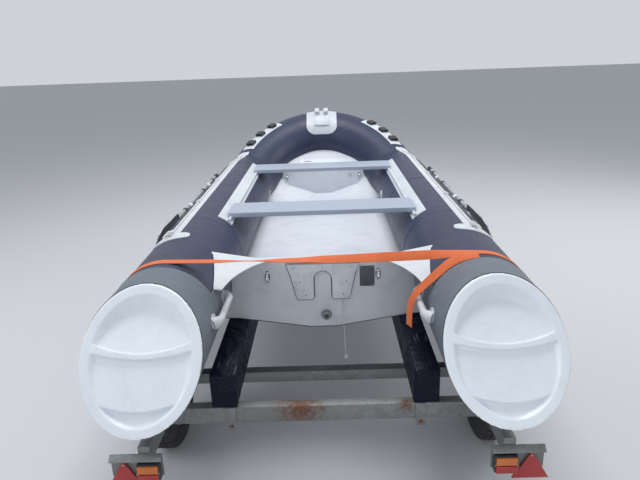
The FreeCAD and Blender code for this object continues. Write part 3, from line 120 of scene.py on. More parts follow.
floorShader["Roughness"].default_value = studio["floorRough"]
floorShader["Specular IOR Level"].default_value = studio["floorSpecular"]
studioFloor.data.materials.append(floorMaterial)

world = bpy.context.scene.world or bpy.data.worlds.new("studioWorld")
bpy.context.scene.world = world
world.use_nodes = True
sky = world.node_tree
sky.nodes.clear()
rays = addNode(sky, "LightPath", {})
seen = addNode(sky, "Math", {0: rays["Is Camera Ray"], 1: rays["Is Glossy Ray"]}, operation="MAXIMUM")
fill = addNode(sky, "Background", {"Color": studio["fillColour"], "Strength": studio["fill"]})
backdrop = addNode(sky, "Background", {"Color": studio["backColour"]})
pick = addNode(sky, "MixShader", {0: seen[0], 1: fill[0], 2: backdrop[0]})
addNode(sky, "OutputWorld", {"Surface": pick[0]})

for lampName, lampPlace, aim, lampSize, watts, lampColour in studio["lamps"]:
    lampData = bpy.data.lights.new(lampName, "AREA")
    lampData.size = lampSize
    lampData.energy = watts
    lampData.color = lampColour
    lamp = newObject(lampName, lampData)
    lamp.location = lampPlace
    lamp.rotation_euler = (Vector(aim) - Vector(lampPlace)).to_track_quat("-Z", "Y").to_euler()
print("camera and studio set")


# shader groups: a recipe gets the group's tree and inputs, and returns what the group puts out
def newGroup(name, inputs, recipe):  # an input with no number is a place or a colour
    tree = bpy.data.node_groups.new(name, "ShaderNodeTree")
    for label, value in {"Vector": None, **inputs}.items():
        kind = "Vector" if label in ("Vector", "Centre") else "Color" if value is None else "Float"
        socket = tree.interface.new_socket(label, in_out="INPUT", socket_type="NodeSocket" + kind)
        if value is not None:
            socket.default_value = value
    results = recipe(tree, tree.nodes.new("NodeGroupInput").outputs)
    for label in results:
        kind = "Color" if label == "Color" else "Float"
        tree.interface.new_socket(label, in_out="OUTPUT", socket_type="NodeSocket" + kind)
    out = tree.nodes.new("NodeGroupOutput")
    for label, result in results.items():
        tree.links.new(result, out.inputs[label])
    return tree


def noiseOf(tree, place, scale, detail, roughness=0.5):
    feeds = {"Vector": place, "Scale": scale, "Detail": detail, "Roughness": roughness}
    return addNode(tree, "TexNoise", feeds)["Fac"]


def rangeOf(tree, value, low, high):
    return addNode(tree, "MapRange", {"Value": value, "From Min": low, "From Max": high})["Result"]


def calc(tree, operation, *values, **settings):
    return addNode(tree, "Math", dict(enumerate(values)), operation=operation, **settings)[0]


def mixColours(tree, share, first, second):
    return addNode(tree, "Mix", {0: share, 6: first, 7: second}, data_type="RGBA")[2]


def toneRecipe(tree, into):  # two tones that drift into each other, with dirt in the hollows of a noise
    drift = noiseOf(tree, into["Vector"], into["Tone Scale"], 5.0, 0.6)
    tones = mixColours(tree, rangeOf(tree, drift, 0.36, 0.64), into["Tone"], into["Second Tone"])
    hollow = rangeOf(tree, noiseOf(tree, into["Vector"], into["Dirt Scale"], 9.0, 0.72), 0.5, 0.78)
    amount = calc(tree, "MULTIPLY", hollow, into["Dirt Amount"])
    return {"Color": mixColours(tree, amount, tones, into["Dirt"]), "Dirt Mask": amount}


def sheenRecipe(tree, into):  # roughness that wanders about a middle value
    centred = calc(tree, "SUBTRACT", noiseOf(tree, into["Vector"], into["Scale"], 6.0, 0.65), 0.5)
    wide = calc(tree, "MULTIPLY", centred, into["Spread"])
    return {"Roughness": calc(tree, "ADD", wide, into["Middle"], use_clamp=True)}


def clothRecipe(tree, into):  # fine crossing threads under a coating, and a soft grain
    feeds = {"Vector": into["Vector"], "Scale": into["Thread Scale"], "Distortion": 0.6, "Detail": 1.0}
    threads = [addNode(tree, "TexWave", feeds, bands_direction=direction)["Fac"] for direction in "XYZ"]
    crossing = calc(tree, "MAXIMUM", calc(tree, "MAXIMUM", threads[0], threads[1]), threads[2])
    grain = noiseOf(tree, into["Vector"], 140.0, 4.0)
    return {"Height": addNode(tree, "Mix", {0: into["Grain"], 2: crossing, 3: grain}, data_type="FLOAT")[0]}


def pebbleRecipe(tree, into):  # small rounded bumps of a moulded or non-slip face
    cells = addNode(tree, "TexVoronoi", {"Vector": into["Vector"], "Scale": into["Scale"], "Smoothness": 0.6},
                    feature="SMOOTH_F1")
    return {"Height": calc(tree, "SUBTRACT", 1.0, cells["Distance"])}


def ridgeRecipe(tree, into):  # ridges along the tubes, counted by the angle round each tube
    parts = addNode(tree, "SeparateXYZ", {0: into["Vector"]})
    acrossTube = calc(tree, "SUBTRACT", calc(tree, "ABSOLUTE", parts[0]), tube["offset"])
    aboveTube = calc(tree, "SUBTRACT", parts[2], tube["height"])
    turns = calc(tree, "MULTIPLY", calc(tree, "ARCTAN2", acrossTube, aboveTube), into["Count"])
    return {"Height": calc(tree, "SINE", turns)}


def spangleRecipe(tree, into):  # zinc spangle: flat crystals of slightly different brightness
    warp = addNode(tree, "TexNoise", {"Vector": into["Vector"], "Scale": 30.0, "Detail": 3.0})["Color"]
    shifted = addNode(tree, "Mix", {0: 0.02, 4: into["Vector"], 5: warp}, data_type="VECTOR")[1]
    cells = addNode(tree, "TexVoronoi", {"Vector": shifted, "Scale": into["Scale"]})["Color"]
    grey = addNode(tree, "SeparateColor", {0: cells})[0]
    return {"Color": mixColours(tree, grey, into["Tone"], into["Bright Tone"]), "Mask": grey}


def strandRecipe(tree, into):  # diagonal picks of a woven strap, from a UV map in metres
    parts = addNode(tree, "SeparateXYZ", {0: into["Vector"]})
    along = calc(tree, "MULTIPLY", parts[0], into["Along"])
    across = calc(tree, "MULTIPLY", parts[1], into["Across"])
    sines = [calc(tree, "SINE", calc(tree, way, along, across)) for way in ("ADD", "SUBTRACT")]
    return {"Height": calc(tree, "MULTIPLY", sines[0], sines[1])}


def patchRecipe(tree, into):  # a ragged patch about one place, for rust and stains
    away = addNode(tree, "VectorMath", {0: into["Vector"], 1: into["Centre"]}, operation="DISTANCE")["Value"]
    share = calc(tree, "MULTIPLY", calc(tree, "DIVIDE", away, into["Reach"]), 0.30)
    ragged = calc(tree, "SUBTRACT", noiseOf(tree, into["Vector"], 46.0, 10.0, 0.78), share)
    mask = rangeOf(tree, ragged, 0.24, 0.46)
    return {"Color": mixColours(tree, mask, into["Color"], into["Patch"]), "Mask": mask}


def sidesRecipe(tree, into):  # tells the sides from the middle by the distance off the centre line
    side = calc(tree, "ABSOLUTE", addNode(tree, "SeparateXYZ", {0: into["Vector"]})[0])
    mask = rangeOf(tree, calc(tree, "SUBTRACT", side, into["Half Width"]), 0.0, 0.004)
    return {"Color": mixColours(tree, mask, into["Color"], into["Side Color"]), "Mask": mask}


def creaseRecipe(tree, into):  # soft folds and pulls of cloth or wrapped film
    feeds = {"Vector": into["Vector"], "Scale": into["Scale"], "Distortion": into["Pull"], "Detail": 3.0,
             "Detail Scale": 1.4}
    return {"Height": addNode(tree, "TexWave", feeds, bands_direction="DIAGONAL", wave_profile="SIN")["Fac"]}


def scuffAndSheenRecipe(tree, into):  # streaks that run fore and aft: darker rubbed scuffs on the benches, and on the bunks' dark film light streaks that are painted sheen
    stretched = addNode(tree, "VectorMath", {0: into["Vector"], 1: (150.0, 5.0, 150.0)}, operation="MULTIPLY")[0]
    line = rangeOf(tree, noiseOf(tree, stretched, 1.0, 3.0), 0.60, 0.70)
    area = rangeOf(tree, noiseOf(tree, into["Vector"], 5.0, 2.0), 0.46, 0.62)
    amount = calc(tree, "MULTIPLY", calc(tree, "MULTIPLY", line, area), into["Amount"])
    return {"Color": mixColours(tree, amount, into["Color"], into["Scuff And Sheen"]), "Mask": amount}


groups = {
    "scuffAndSheen": newGroup("scuffsAndPaintedSheen", {"Color": None, "Scuff And Sheen": None, "Amount": 0.5}, scuffAndSheenRecipe),
    "patch": newGroup("raggedPatch", {"Centre": None, "Reach": 0.1, "Color": None, "Patch": None}, patchRecipe),
    "sides": newGroup("outerSides", {"Half Width": 0.5, "Color": None, "Side Color": None}, sidesRecipe),
    "crease": newGroup("softCreases", {"Scale": 9.0, "Pull": 4.0}, creaseRecipe),
    "tone": newGroup("toneAndDirt", {"Tone": None, "Second Tone": None, "Tone Scale": 3.0, "Dirt": None,
                                     "Dirt Scale": 9.0, "Dirt Amount": 0.2}, toneRecipe),
    "sheen": newGroup("roughnessDrift", {"Middle": 0.5, "Spread": 0.1, "Scale": 12.0}, sheenRecipe),
    "cloth": newGroup("clothGrain", {"Thread Scale": 500.0, "Grain": 0.4}, clothRecipe),
    "pebble": newGroup("pebbles", {"Scale": 300.0}, pebbleRecipe),
    "ridge": newGroup("lengthwiseRidges", {"Count": 220.0}, ridgeRecipe),
    "spangle": newGroup("zincSpangle", {"Scale": 70.0, "Tone": None, "Bright Tone": None}, spangleRecipe),
    "strand": newGroup("strands", {"Along": 900.0, "Across": 900.0}, strandRecipe),
}
print("shader groups built:", len(groups))


def placeGroup(tree, name, feeds):
    return addNode(tree, "Group", feeds, node_tree=groups[name])


plainLook = {"metal": 0.0, "specular": 0.5, "coat": 0.0, "coatRoughness": 0.15, "sheen": 0.0, "roughSpread": 0.2,
             "roughScale": 14.0, "dirt": ((0.16, 0.15, 0.13), 9.0, 0.15), "patches": [], "relief": [],
             "mappedBy": "Object"}


def makeMaterial(name, given):  # tones and dirt feed the colour, drift the roughness, and relief the bumps
    look = {**plainLook, **given}
    material = bpy.data.materials.new(name)
    material.use_nodes = True
    tree = material.node_tree
    shader = tree.nodes["Principled BSDF"].inputs
    for label, key in (("Metallic", "metal"), ("Specular IOR Level", "specular"), ("Coat Weight", "coat"),
                       ("Coat Roughness", "coatRoughness"), ("Sheen Weight", "sheen")):
        shader[label].default_value = look[key]
    places = addNode(tree, "TexCoord", {})
    here = places["Object"]
    tone, second, toneScale = look["tones"]
    dirt, dirtScale, dirtAmount = look["dirt"]
    first = (*tone, 1.0)
    if "zinc" in look:
        first = placeGroup(tree, "spangle", {"Vector": here, "Scale": look["zinc"], "Tone": first,
                                             "Bright Tone": (*look["bright"], 1.0)})["Color"]
    colour = placeGroup(tree, "tone", {
        "Vector": here, "Tone": first, "Second Tone": (*second, 1.0), "Tone Scale": toneScale,
        "Dirt": (*dirt, 1.0), "Dirt Scale": dirtScale, "Dirt Amount": dirtAmount})["Color"]
    layers = []
    if "sideTone" in look:
        layers.append(("sides", {"Half Width": look["middleHalf"], "Side Color": (*look["sideTone"], 1.0)}))
    if "scuffAndSheen" in look:
        layers.append(("scuffAndSheen", {"Scuff And Sheen": (*look["scuffAndSheen"], 1.0), "Amount": look["scuffAndSheenAmount"]}))
    for centre, reach, stain in look["patches"]:
        layers.append(("patch", {"Centre": centre, "Reach": reach, "Patch": (*stain, 1.0)}))
    for groupName, feeds in layers:
        colour = placeGroup(tree, groupName, {"Vector": here, "Color": colour, **feeds})["Color"]
    tree.links.new(colour, shader["Base Color"])
    drift = placeGroup(tree, "sheen", {"Vector": here, "Middle": look["rough"], "Spread": look["roughSpread"],
                                       "Scale": look["roughScale"]})
    tree.links.new(drift["Roughness"], shader["Roughness"])
    below = {}
    for groupName, feeds, strength, depth in look["relief"]:
        height = placeGroup(tree, groupName, {"Vector": places[look["mappedBy"]], **feeds})["Height"]
        bump = addNode(tree, "Bump", {"Height": height, "Strength": strength, "Distance": depth, **below})
        below = {"Normal": bump["Normal"]}
    if below:
        tree.links.new(below["Normal"], shader["Normal"])
    return material


def pebbled(scale, strength, depth):
    return "pebble", {"Scale": scale}, strength, depth


# tones: first, second and the scale of their drift; dirt: colour, scale and amount
coatedCloth = ("cloth", {"Thread Scale": 420.0, "Grain": 0.45}, 0.25, 0.0004)
looks = {
    "collarCloth": {"tones": ((0.032, 0.042, 0.086), (0.027, 0.036, 0.076), 1.6),
        "dirt": ((0.15, 0.16, 0.18), 5.0, 0.14), "rough": 0.42, "roughSpread": 0.25, "specular": 0.35, "coat": 0.04,
        "coatRoughness": 0.35, "relief": [coatedCloth]},
    "whiteCloth": {"tones": ((0.69, 0.73, 0.77), (0.62, 0.66, 0.71), 4.0), "dirt": ((0.30, 0.29, 0.27), 14.0, 0.28),
        "rough": 0.45, "relief": [("crease", {"Scale": 2.2, "Pull": 9.0}, 0.35, 0.006), coatedCloth]},
    "sleeveCloth": {"tones": ((0.165, 0.200, 0.240), (0.135, 0.165, 0.205), 3.0),
        "dirt": ((0.28, 0.28, 0.28), 9.0, 0.2), "rough": 0.5,
        "relief": [("ridge", {"Count": 175.0}, 0.7, 0.0014), coatedCloth]},
    "capPlastic": {"tones": ((0.85, 0.90, 0.955), (0.80, 0.85, 0.91), 2.5),
        "dirt": ((0.36, 0.36, 0.35), 11.0, 0.16), "rough": 0.3, "coat": 0.15,
        "relief": [pebbled(700.0, 0.08, 0.0003)]},
    "fairleadPlastic": {"tones": ((0.60, 0.64, 0.69), (0.55, 0.59, 0.64), 14.0),
        "dirt": ((0.30, 0.30, 0.29), 30.0, 0.25), "rough": 0.42, "relief": [pebbled(500.0, 0.12, 0.0004)]},
    "handlePlastic": {"tones": ((0.66, 0.69, 0.72), (0.58, 0.61, 0.64), 14.0),
        "dirt": ((0.25, 0.25, 0.24), 40.0, 0.45), "rough": 0.45, "relief": [pebbled(500.0, 0.15, 0.0004)]},
    "drainPlastic": {"tones": ((0.30, 0.33, 0.34), (0.20, 0.24, 0.23), 60.0),
        "dirt": ((0.05, 0.075, 0.065), 70.0, 0.6), "rough": 0.45},
    "gelcoat": {"tones": ((0.80, 0.84, 0.90), (0.74, 0.78, 0.84), 2.2), "dirt": ((0.33, 0.32, 0.30), 8.0, 0.22),
        "rough": 0.32, "coat": 0.2},
    "deckGrip": {"tones": ((0.74, 0.78, 0.845), (0.69, 0.73, 0.79), 3.0), "dirt": ((0.36, 0.35, 0.33), 7.0, 0.3),
        "rough": 0.55, "middleHalf": 0.505, "sideTone": (0.58, 0.62, 0.66),
        "relief": [pebbled(260.0, 0.35, 0.0008)]},
    "transomPaint": {"tones": ((0.70, 0.73, 0.78), (0.64, 0.67, 0.72), 3.0),
        "dirt": ((0.15, 0.15, 0.15), 10.0, 0.22), "rough": 0.4, "relief": [pebbled(420.0, 0.1, 0.0004)]},
    "padPlastic": {"tones": ((0.74, 0.76, 0.81), (0.66, 0.68, 0.73), 9.0), "dirt": ((0.14, 0.14, 0.14), 26.0, 0.4),
        "rough": 0.6, "relief": [pebbled(600.0, 0.3, 0.0005)]},
    "benchPaint": {"tones": ((0.39, 0.445, 0.545), (0.39, 0.445, 0.54), 4.0),
        "dirt": ((0.24, 0.24, 0.26), 15.0, 0.2), "rough": 0.4, "scuffAndSheen": (0.30, 0.32, 0.36), "scuffAndSheenAmount": 0.35,
        "relief": [pebbled(500.0, 0.15, 0.0004)]},
    "blackRubber": {"tones": ((0.028, 0.030, 0.034), (0.045, 0.047, 0.052), 12.0),
        "dirt": ((0.16, 0.15, 0.14), 9.0, 0.35), "rough": 0.62, "relief": [pebbled(800.0, 0.25, 0.0004)]},
    "darkPlate": {"tones": ((0.055, 0.062, 0.072), (0.085, 0.090, 0.10), 30.0),
        "dirt": ((0.20, 0.20, 0.20), 40.0, 0.5), "rough": 0.45},
    "polishedSteel": {"tones": ((0.60, 0.61, 0.63), (0.60, 0.61, 0.63), 3.0),
        "dirt": ((0.25, 0.22, 0.19), 60.0, 0.2), "rough": 0.25, "metal": 1.0},
    "whiteRope": {"tones": ((0.76, 0.77, 0.77), (0.66, 0.67, 0.67), 20.0), "dirt": ((0.27, 0.26, 0.24), 60.0, 0.4),
        "rough": 0.8, "relief": [("cloth", {"Thread Scale": 120.0, "Grain": 0.1}, 0.9, 0.0012)]},
    "orangeWebbing": {"tones": ((1.0, 0.215, 0.06), (0.92, 0.18, 0.05), 6.0),
        "dirt": ((0.30, 0.10, 0.05), 20.0, 0.22), "mappedBy": "UV", "rough": 0.75, "sheen": 0.15,
        "relief": [("strand", {"Along": 1500.0, "Across": 1500.0}, 0.8, 0.0008)]},
    "oarMetal": {"tones": ((0.50, 0.52, 0.54), (0.43, 0.45, 0.47), 14.0), "dirt": ((0.22, 0.22, 0.22), 9.0, 0.25),
        "rough": 0.42, "metal": 0.25},
    "zinc": {"tones": ((0.19, 0.205, 0.205), (0.22, 0.23, 0.23), 5.0), "dirt": ((0.16, 0.115, 0.085), 7.0, 0.4),
        "rough": 0.5, "roughSpread": 0.35, "metal": 0.7, "zinc": 55.0, "bright": (0.27, 0.285, 0.285)},
    "rustyZinc": {"tones": ((0.19, 0.205, 0.205), (0.22, 0.23, 0.23), 5.0),
        "dirt": ((0.16, 0.115, 0.085), 7.0, 0.45), "rough": 0.55, "roughSpread": 0.35, "metal": 0.55, "zinc": 55.0,
        "bright": (0.27, 0.285, 0.285),
        "patches": [  # centre, reach, colour
            ((-0.11, -2.215, 0.515), 0.15, (0.16, 0.078, 0.050)), ((0.36, -2.215, 0.52), 0.05, (0.15, 0.07, 0.04)),
            ((-0.62, -0.11, 0.51), 0.07, (0.17, 0.062, 0.030)), ((0.08, 1.89, 0.50), 0.06, (0.16, 0.07, 0.035))]},
    "collarTape": {"tones": ((0.038, 0.049, 0.096), (0.033, 0.043, 0.086), 6.0),
        "dirt": ((0.17, 0.18, 0.20), 9.0, 0.2), "rough": 0.48, "specular": 0.35, "relief": [coatedCloth]},
    "rustySteel": {"tones": ((0.19, 0.075, 0.038), (0.27, 0.15, 0.10), 120.0),
        "dirt": ((0.10, 0.05, 0.03), 160.0, 0.4), "rough": 0.75, "metal": 0.2},
    "boltZinc": {"tones": ((0.42, 0.42, 0.40), (0.33, 0.33, 0.31), 80.0), "dirt": ((0.18, 0.12, 0.08), 90.0, 0.3),
        "rough": 0.4, "metal": 0.8},
    "seamLine": {"tones": ((0.34, 0.37, 0.41), (0.28, 0.31, 0.35), 20.0), "dirt": ((0.16, 0.15, 0.13), 9.0, 0.3),
        "rough": 0.6},
    # dark for the real joints, and for the painted shadow lines at the pad and the caps
    "darkSeamAndShadow": {"tones": ((0.075, 0.080, 0.085), (0.12, 0.12, 0.125), 40.0),
        "dirt": ((0.16, 0.15, 0.13), 9.0, 0.3), "rough": 0.8},
    # painted sheen: the light bluish streaks on the dark film stand in for the gloss reflections of the wrapped film
    "bunkFilm": {"tones": ((0.004, 0.007, 0.017), (0.007, 0.010, 0.024), 7.0),
        "dirt": ((0.20, 0.19, 0.18), 5.0, 0.06), "rough": 0.42, "roughSpread": 0.3, "specular": 0.12,
        "scuffAndSheen": (0.30, 0.34, 0.42), "scuffAndSheenAmount": 0.5,
        "relief": [("crease", {"Scale": 3.5, "Pull": 14.0}, 0.6, 0.006)]},
    "tyreRubber": {"tones": ((0.022, 0.022, 0.024), (0.033, 0.033, 0.034), 8.0),
        "dirt": ((0.13, 0.12, 0.105), 9.0, 0.45), "rough": 0.75, "relief": [pebbled(350.0, 0.2, 0.0005)]},
    "rimPaint": {"tones": ((0.52, 0.54, 0.56), (0.47, 0.49, 0.51), 7.0), "dirt": ((0.17, 0.14, 0.11), 9.0, 0.35),
        "rough": 0.38, "metal": 0.55},
    "redLens": {"tones": ((0.42, 0.012, 0.010), (0.36, 0.010, 0.008), 20.0),
        "dirt": ((0.16, 0.15, 0.13), 9.0, 0.15), "rough": 0.15, "coat": 0.6,
        "relief": [pebbled(260.0, 0.35, 0.0008)]},
    "amberLens": {"tones": ((0.62, 0.16, 0.012), (0.55, 0.13, 0.010), 20.0),
        "dirt": ((0.16, 0.15, 0.13), 9.0, 0.15), "rough": 0.15, "coat": 0.6,
        "relief": [pebbled(260.0, 0.35, 0.0008)]},
}
finishes = {name: makeMaterial(name, look) for name, look in looks.items()}
print("finishes made:", len(finishes))

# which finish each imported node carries
nodeFinish = {
    "collarCloth": ["tube_left", "tube_right", "tube_bow"],
    "whiteCloth": ["transom_wings", "bench_rails", "lifeline_strips", "grip_patches", "rub_strakes"],
    "sleeveCloth": ["sleeve_left", "sleeve_right"],
    "capPlastic": ["end_cap_left", "end_cap_right", "carry_handles", "oar_clips"],
    "fairleadPlastic": ["bow_fairlead"],
    "gelcoat": ["hull", "bow_locker", "locker_lid"],
    "deckGrip": ["deck"],
    "transomPaint": ["transom"],
    "padPlastic": ["motor_pad"],
    "benchPaint": ["bench_aft", "bench_fore"],
    "blackRubber": ["grips", "jockey_wheel", "bow_stop", "drain_fitting"],
    "darkPlate": ["blank_plate"],
    "polishedSteel": ["eyes"],
    "whiteRope": ["lifelines", "tie_string", "string_knot"],
    "orangeWebbing": ["tie_strap", "strap_tail"],
    "oarMetal": ["oar_left", "oar_right"],
    "rustyZinc": ["crossbeams"],
    "zinc": ["strap_hooks", "frame_left", "frame_right", "bunk_brackets", "axle", "mudguards", "lamp_boards",
             "winch_post", "winch", "coupling", "jockey_stem", "jockey_fork"],
    "bunkFilm": ["bunks"],
    "tyreRubber": ["tyre_left", "tyre_right"],
    "rimPaint": ["rim_left", "rim_right"],
    "redLens": ["lamps", "reflectors"],
}
for finishName, nodeNames in nodeFinish.items():
    for nodeName in nodeNames:
        nodeObject = frame["nodes"][nodeName]
        for materialSlot in nodeObject.material_slots:
            materialSlot.material = finishes[finishName]
        if not nodeObject.material_slots:
            nodeObject.data.materials.append(finishes[finishName])
print("packed nodes dressed")


# modelling helpers
def finishPiece(bm, name, finishName, body, sharp=35.0, replaces=()):  # a bmesh as a piece on a body
    data = meshOf(bm, name)
    for face in data.polygons:
        face.use_smooth = True
    data.set_sharp_from_angle(angle=math.radians(sharp))
    data.materials.append(finishes[finishName])
    piece = newObject(name, data)
    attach(piece, body)
    if replaces:
        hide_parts(*replaces)
    return piece


def nodeCopy(nodeName):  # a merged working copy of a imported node's mesh
    bm = bmesh.new()
    bm.from_mesh(frame["nodes"][nodeName].data)
    bmesh.ops.remove_doubles(bm, verts=bm.verts, dist=0.00002)
    return bm


def shapedBmesh(draft):  # a draft object's mesh with its modifiers applied; the draft is removed
    bpy.context.view_layer.update()
    shaped = bpy.data.meshes.new_from_object(draft.evaluated_get(bpy.context.evaluated_depsgraph_get()))
    bpy.data.objects.remove(draft)
    bm = bmesh.new()
    bm.from_mesh(shaped)
    return bm


def bevelEdges(bm, edges, width, segments, **settings):
    bmesh.ops.bevel(bm, geom=edges, offset=width, offset_type="OFFSET", segments=segments, profile=0.5, material=-1,
                    affect="EDGES", **settings)


def sharpEdges(bm, degrees):
    return [e for e in bm.edges if len(e.link_faces) == 2 and e.calc_face_angle(0) > math.radians(degrees)]


def newVerts(geom):
    return [g for g in geom if isinstance(g, bmesh.types.BMVert)]


def extruded(bm, faces):  # raises a copy of the faces and returns its corners
    return newVerts(bmesh.ops.extrude_face_region(bm, geom=faces)["geom"])


def recalc(bm):
    bmesh.ops.recalc_face_normals(bm, faces=bm.faces)


def ringFrames(points):  # a turning frame at each point, carried along without twist
    frames = []
    side = None
    for k, point in enumerate(points):
        before = points[max(k - 1, 0)]
        after = points[min(k + 1, len(points) - 1)]
        along = (after - before).normalized()
        if side is None:
            side = along.orthogonal().normalized()
        side = (side - along * side.dot(along)).normalized()
        frames.append((point, along, side, along.cross(side)))
    return frames


def tubeAlong(bm, points, radii, segments):  # extrudes a ring along points; radii is a number or one a point
    frames = ringFrames(points)
    if not isinstance(radii, (list, tuple)):
        radii = [radii] * len(points)
    ring = bmesh.ops.create_circle(bm, cap_ends=False, segments=segments, radius=1.0)["verts"]
    corners = [v.co.copy() for v in ring]
    edges = [e for e in bm.edges if e.verts[0] in ring and e.verts[1] in ring]

    def settle(verts, k):
        point, along, side, lift = frames[k]
        for vert, corner in zip(verts, corners):
            vert.co = point + side * (corner.x * radii[k]) + lift * (corner.y * radii[k])

    settle(ring, 0)
    start = list(ring)
    for k in range(1, len(points)):
        made = bmesh.ops.extrude_edge_only(bm, edges=edges)["geom"]
        fresh = newVerts(made)
        ordered = []
        for old in ring:
            for e in old.link_edges:
                other = e.other_vert(old)
                if other in fresh and other not in ordered:
                    ordered.append(other)
                    break
        ring = ordered
        edges = [g for g in made if isinstance(g, bmesh.types.BMEdge) and g.verts[0] in ring and g.verts[1] in ring]
        settle(ring, k)
    bmesh.ops.contextual_create(bm, geom=start)
    bmesh.ops.contextual_create(bm, geom=ring)


def arcPoints(centre, first, second, degreesFrom, degreesTo, count):  # an arc in the plane of two directions
    points = []
    for k in range(count + 1):
        a = math.radians(degreesFrom + (degreesTo - degreesFrom) * k / count)
        points.append(centre + first * math.cos(a) + second * math.sin(a))
    return points


def knotLoop(bm, centre, axis, reach, begin, sweep, count, thick, segments):  # one turn of a knot about an axis
    axis = Vector(axis).normalized()
    across = axis.orthogonal().normalized()
    points = arcPoints(centre, across * reach, axis.cross(across) * reach, begin, begin + sweep, count)
    tubeAlong(bm, points, thick, segments)


def skinPoint(side, station, degrees, lift=0.0):  # a spot on a side tube's skin; degrees from the top, outboard
    a = math.radians(degrees)
    reach = tube["radius"] + lift
    return Vector((side * (tube["offset"] + reach * math.sin(a)), at(station), tube["height"] + reach * math.cos(a)))


def nurbsCurve(name, route, resolution):  # a smooth line that a route's points control
    data = bpy.data.curves.new(name, "CURVE")
    data.dimensions = "3D"
    line = data.splines.new("NURBS")
    line.points.add(len(route) - 1)
    for point, place in zip(line.points, route):
        point.co = (*place, 1.0)
    line.order_u = 3
    line.use_endpoint_u = True
    line.resolution_u = resolution
    return data


# thin cord and its knot
string = {
    "route": [(0.104, -1.6760, 0.7996), (0.105, -1.6830, 0.752), (0.102, -1.6900, 0.697), (0.104, -1.6970, 0.640),
              (0.108, -1.6940, 0.584), (0.106, -1.7010, 0.528), (0.110, -1.6990, 0.478)],
    "radius": 0.002, "length": 0.323, "knotBelow": 0.0072, "knotReach": 0.0078, "knotThick": 0.0042,
    "knotLoops": [((1, 0, 0.3), 0), ((0.2, 1, 0), 40), ((0, 0.3, 1), 80)],  # axis, where the turn begins
    "tip": [(0.001, 0, -0.002), (0.003, 0.001, -0.006), (0.0045, 0.002, -0.0068)],
    "tipRadii": [0.0021, 0.0023, 0.0012],
}
curveData = nurbsCurve("hangingString", string["route"], 10)
curveData.bevel_depth = string["radius"]
curveData.bevel_resolution = 3
curveData.use_fill_caps = True
curveData.materials.append(finishes["whiteRope"])
hangingString = newObject("hangingString", curveData)
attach(hangingString, bodyOf["tie_string"])
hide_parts("tie_string")

knotCentre = Vector(string["route"][-1]) - Vector((0, 0, string["knotBelow"]))
bm = bmesh.new()
for axis, begin in string["knotLoops"]:
    knotLoop(bm, knotCentre, axis, string["knotReach"], begin, 340, 16, string["knotThick"], 8)
tubeAlong(bm, [knotCentre + Vector(step) for step in string["tip"]], string["tipRadii"], 8)
recalc(bm)
stringKnot = finishPiece(bm, "stringKnot", "whiteRope", bodyOf["string_knot"], 60, ("string_knot",))
print("thin cord hung, metres:", string["length"])

# orange strap over the stern and its loose tail
strap = {"station": 0.625, "width": 0.045, "thickness": 0.0028, "foldedEdge": 0.0006, "clearance": 0.0003,
         "hookX": 0.740, "hookHeight": 0.549, "sag": 0.012, "spans": 36,
         "twists": [(0.0, 0), (0.14, 0), (0.27, -19), (0.40, 4), (0.55, 30), (0.72, 50), (0.84, 50),
                    (0.93, 20), (1.0, 0)]}  # share of the way across, lean in degrees
strapReach = tube["radius"] + strap["clearance"] + strap["thickness"] / 2


def ribbon(name, spots, body, replaces):  # a strap from (middle, across) pairs, with a UV map in metres
    bm = bmesh.new()
    uvLayer = bm.loops.layers.uv.new("UVMap")
    width = strap["width"]
    middle, across = spots[0]
    pair = [bm.verts.new(middle - across * width / 2), bm.verts.new(middle + across * width / 2)]
    edge = bm.edges.new(pair)
    travelled = {pair[0]: (0.0, 0.0), pair[1]: (0.0, width)}
    run = 0.0
    for onward, across in spots[1:]:
        run += (onward - middle).length
        middle = onward
        made = bmesh.ops.extrude_edge_only(bm, edges=[edge])["geom"]
        verts = newVerts(made)
        edge = [g for g in made if isinstance(g, bmesh.types.BMEdge) and all(v in verts for v in g.verts)][0]
        nearFirst = [v for v in verts if any(e.other_vert(v) is pair[0] for e in v.link_edges)][0]
        nearSecond = [v for v in verts if v is not nearFirst][0]
        nearFirst.co = middle - across * width / 2
        nearSecond.co = middle + across * width / 2
        travelled[nearFirst] = (run, 0.0)
        travelled[nearSecond] = (run, width)
        pair = [nearFirst, nearSecond]
    for face in bm.faces:
        for loop in face.loops:
            loop[uvLayer].uv = travelled[loop.vert]
    piece = finishPiece(bm, name, "orangeWebbing", body, 60, replaces)
    solid = piece.modifiers.new("thickness", "SOLIDIFY")
    solid.thickness = strap["thickness"]
    solid.offset = 0.0
    edges = piece.modifiers.new("foldedEdge", "BEVEL")
    edges.width = strap["foldedEdge"]
    edges.segments = 2
    return piece, run


def twistAt(share):  # lean of the strap at a share of the way across, eased between the table's rows
    for (low, first), (high, last) in zip(strap["twists"], strap["twists"][1:]):
        if share <= high:
            step = (share - low) / (high - low)
            return first + (last - first) * (3 * step ** 2 - 2 * step ** 3)


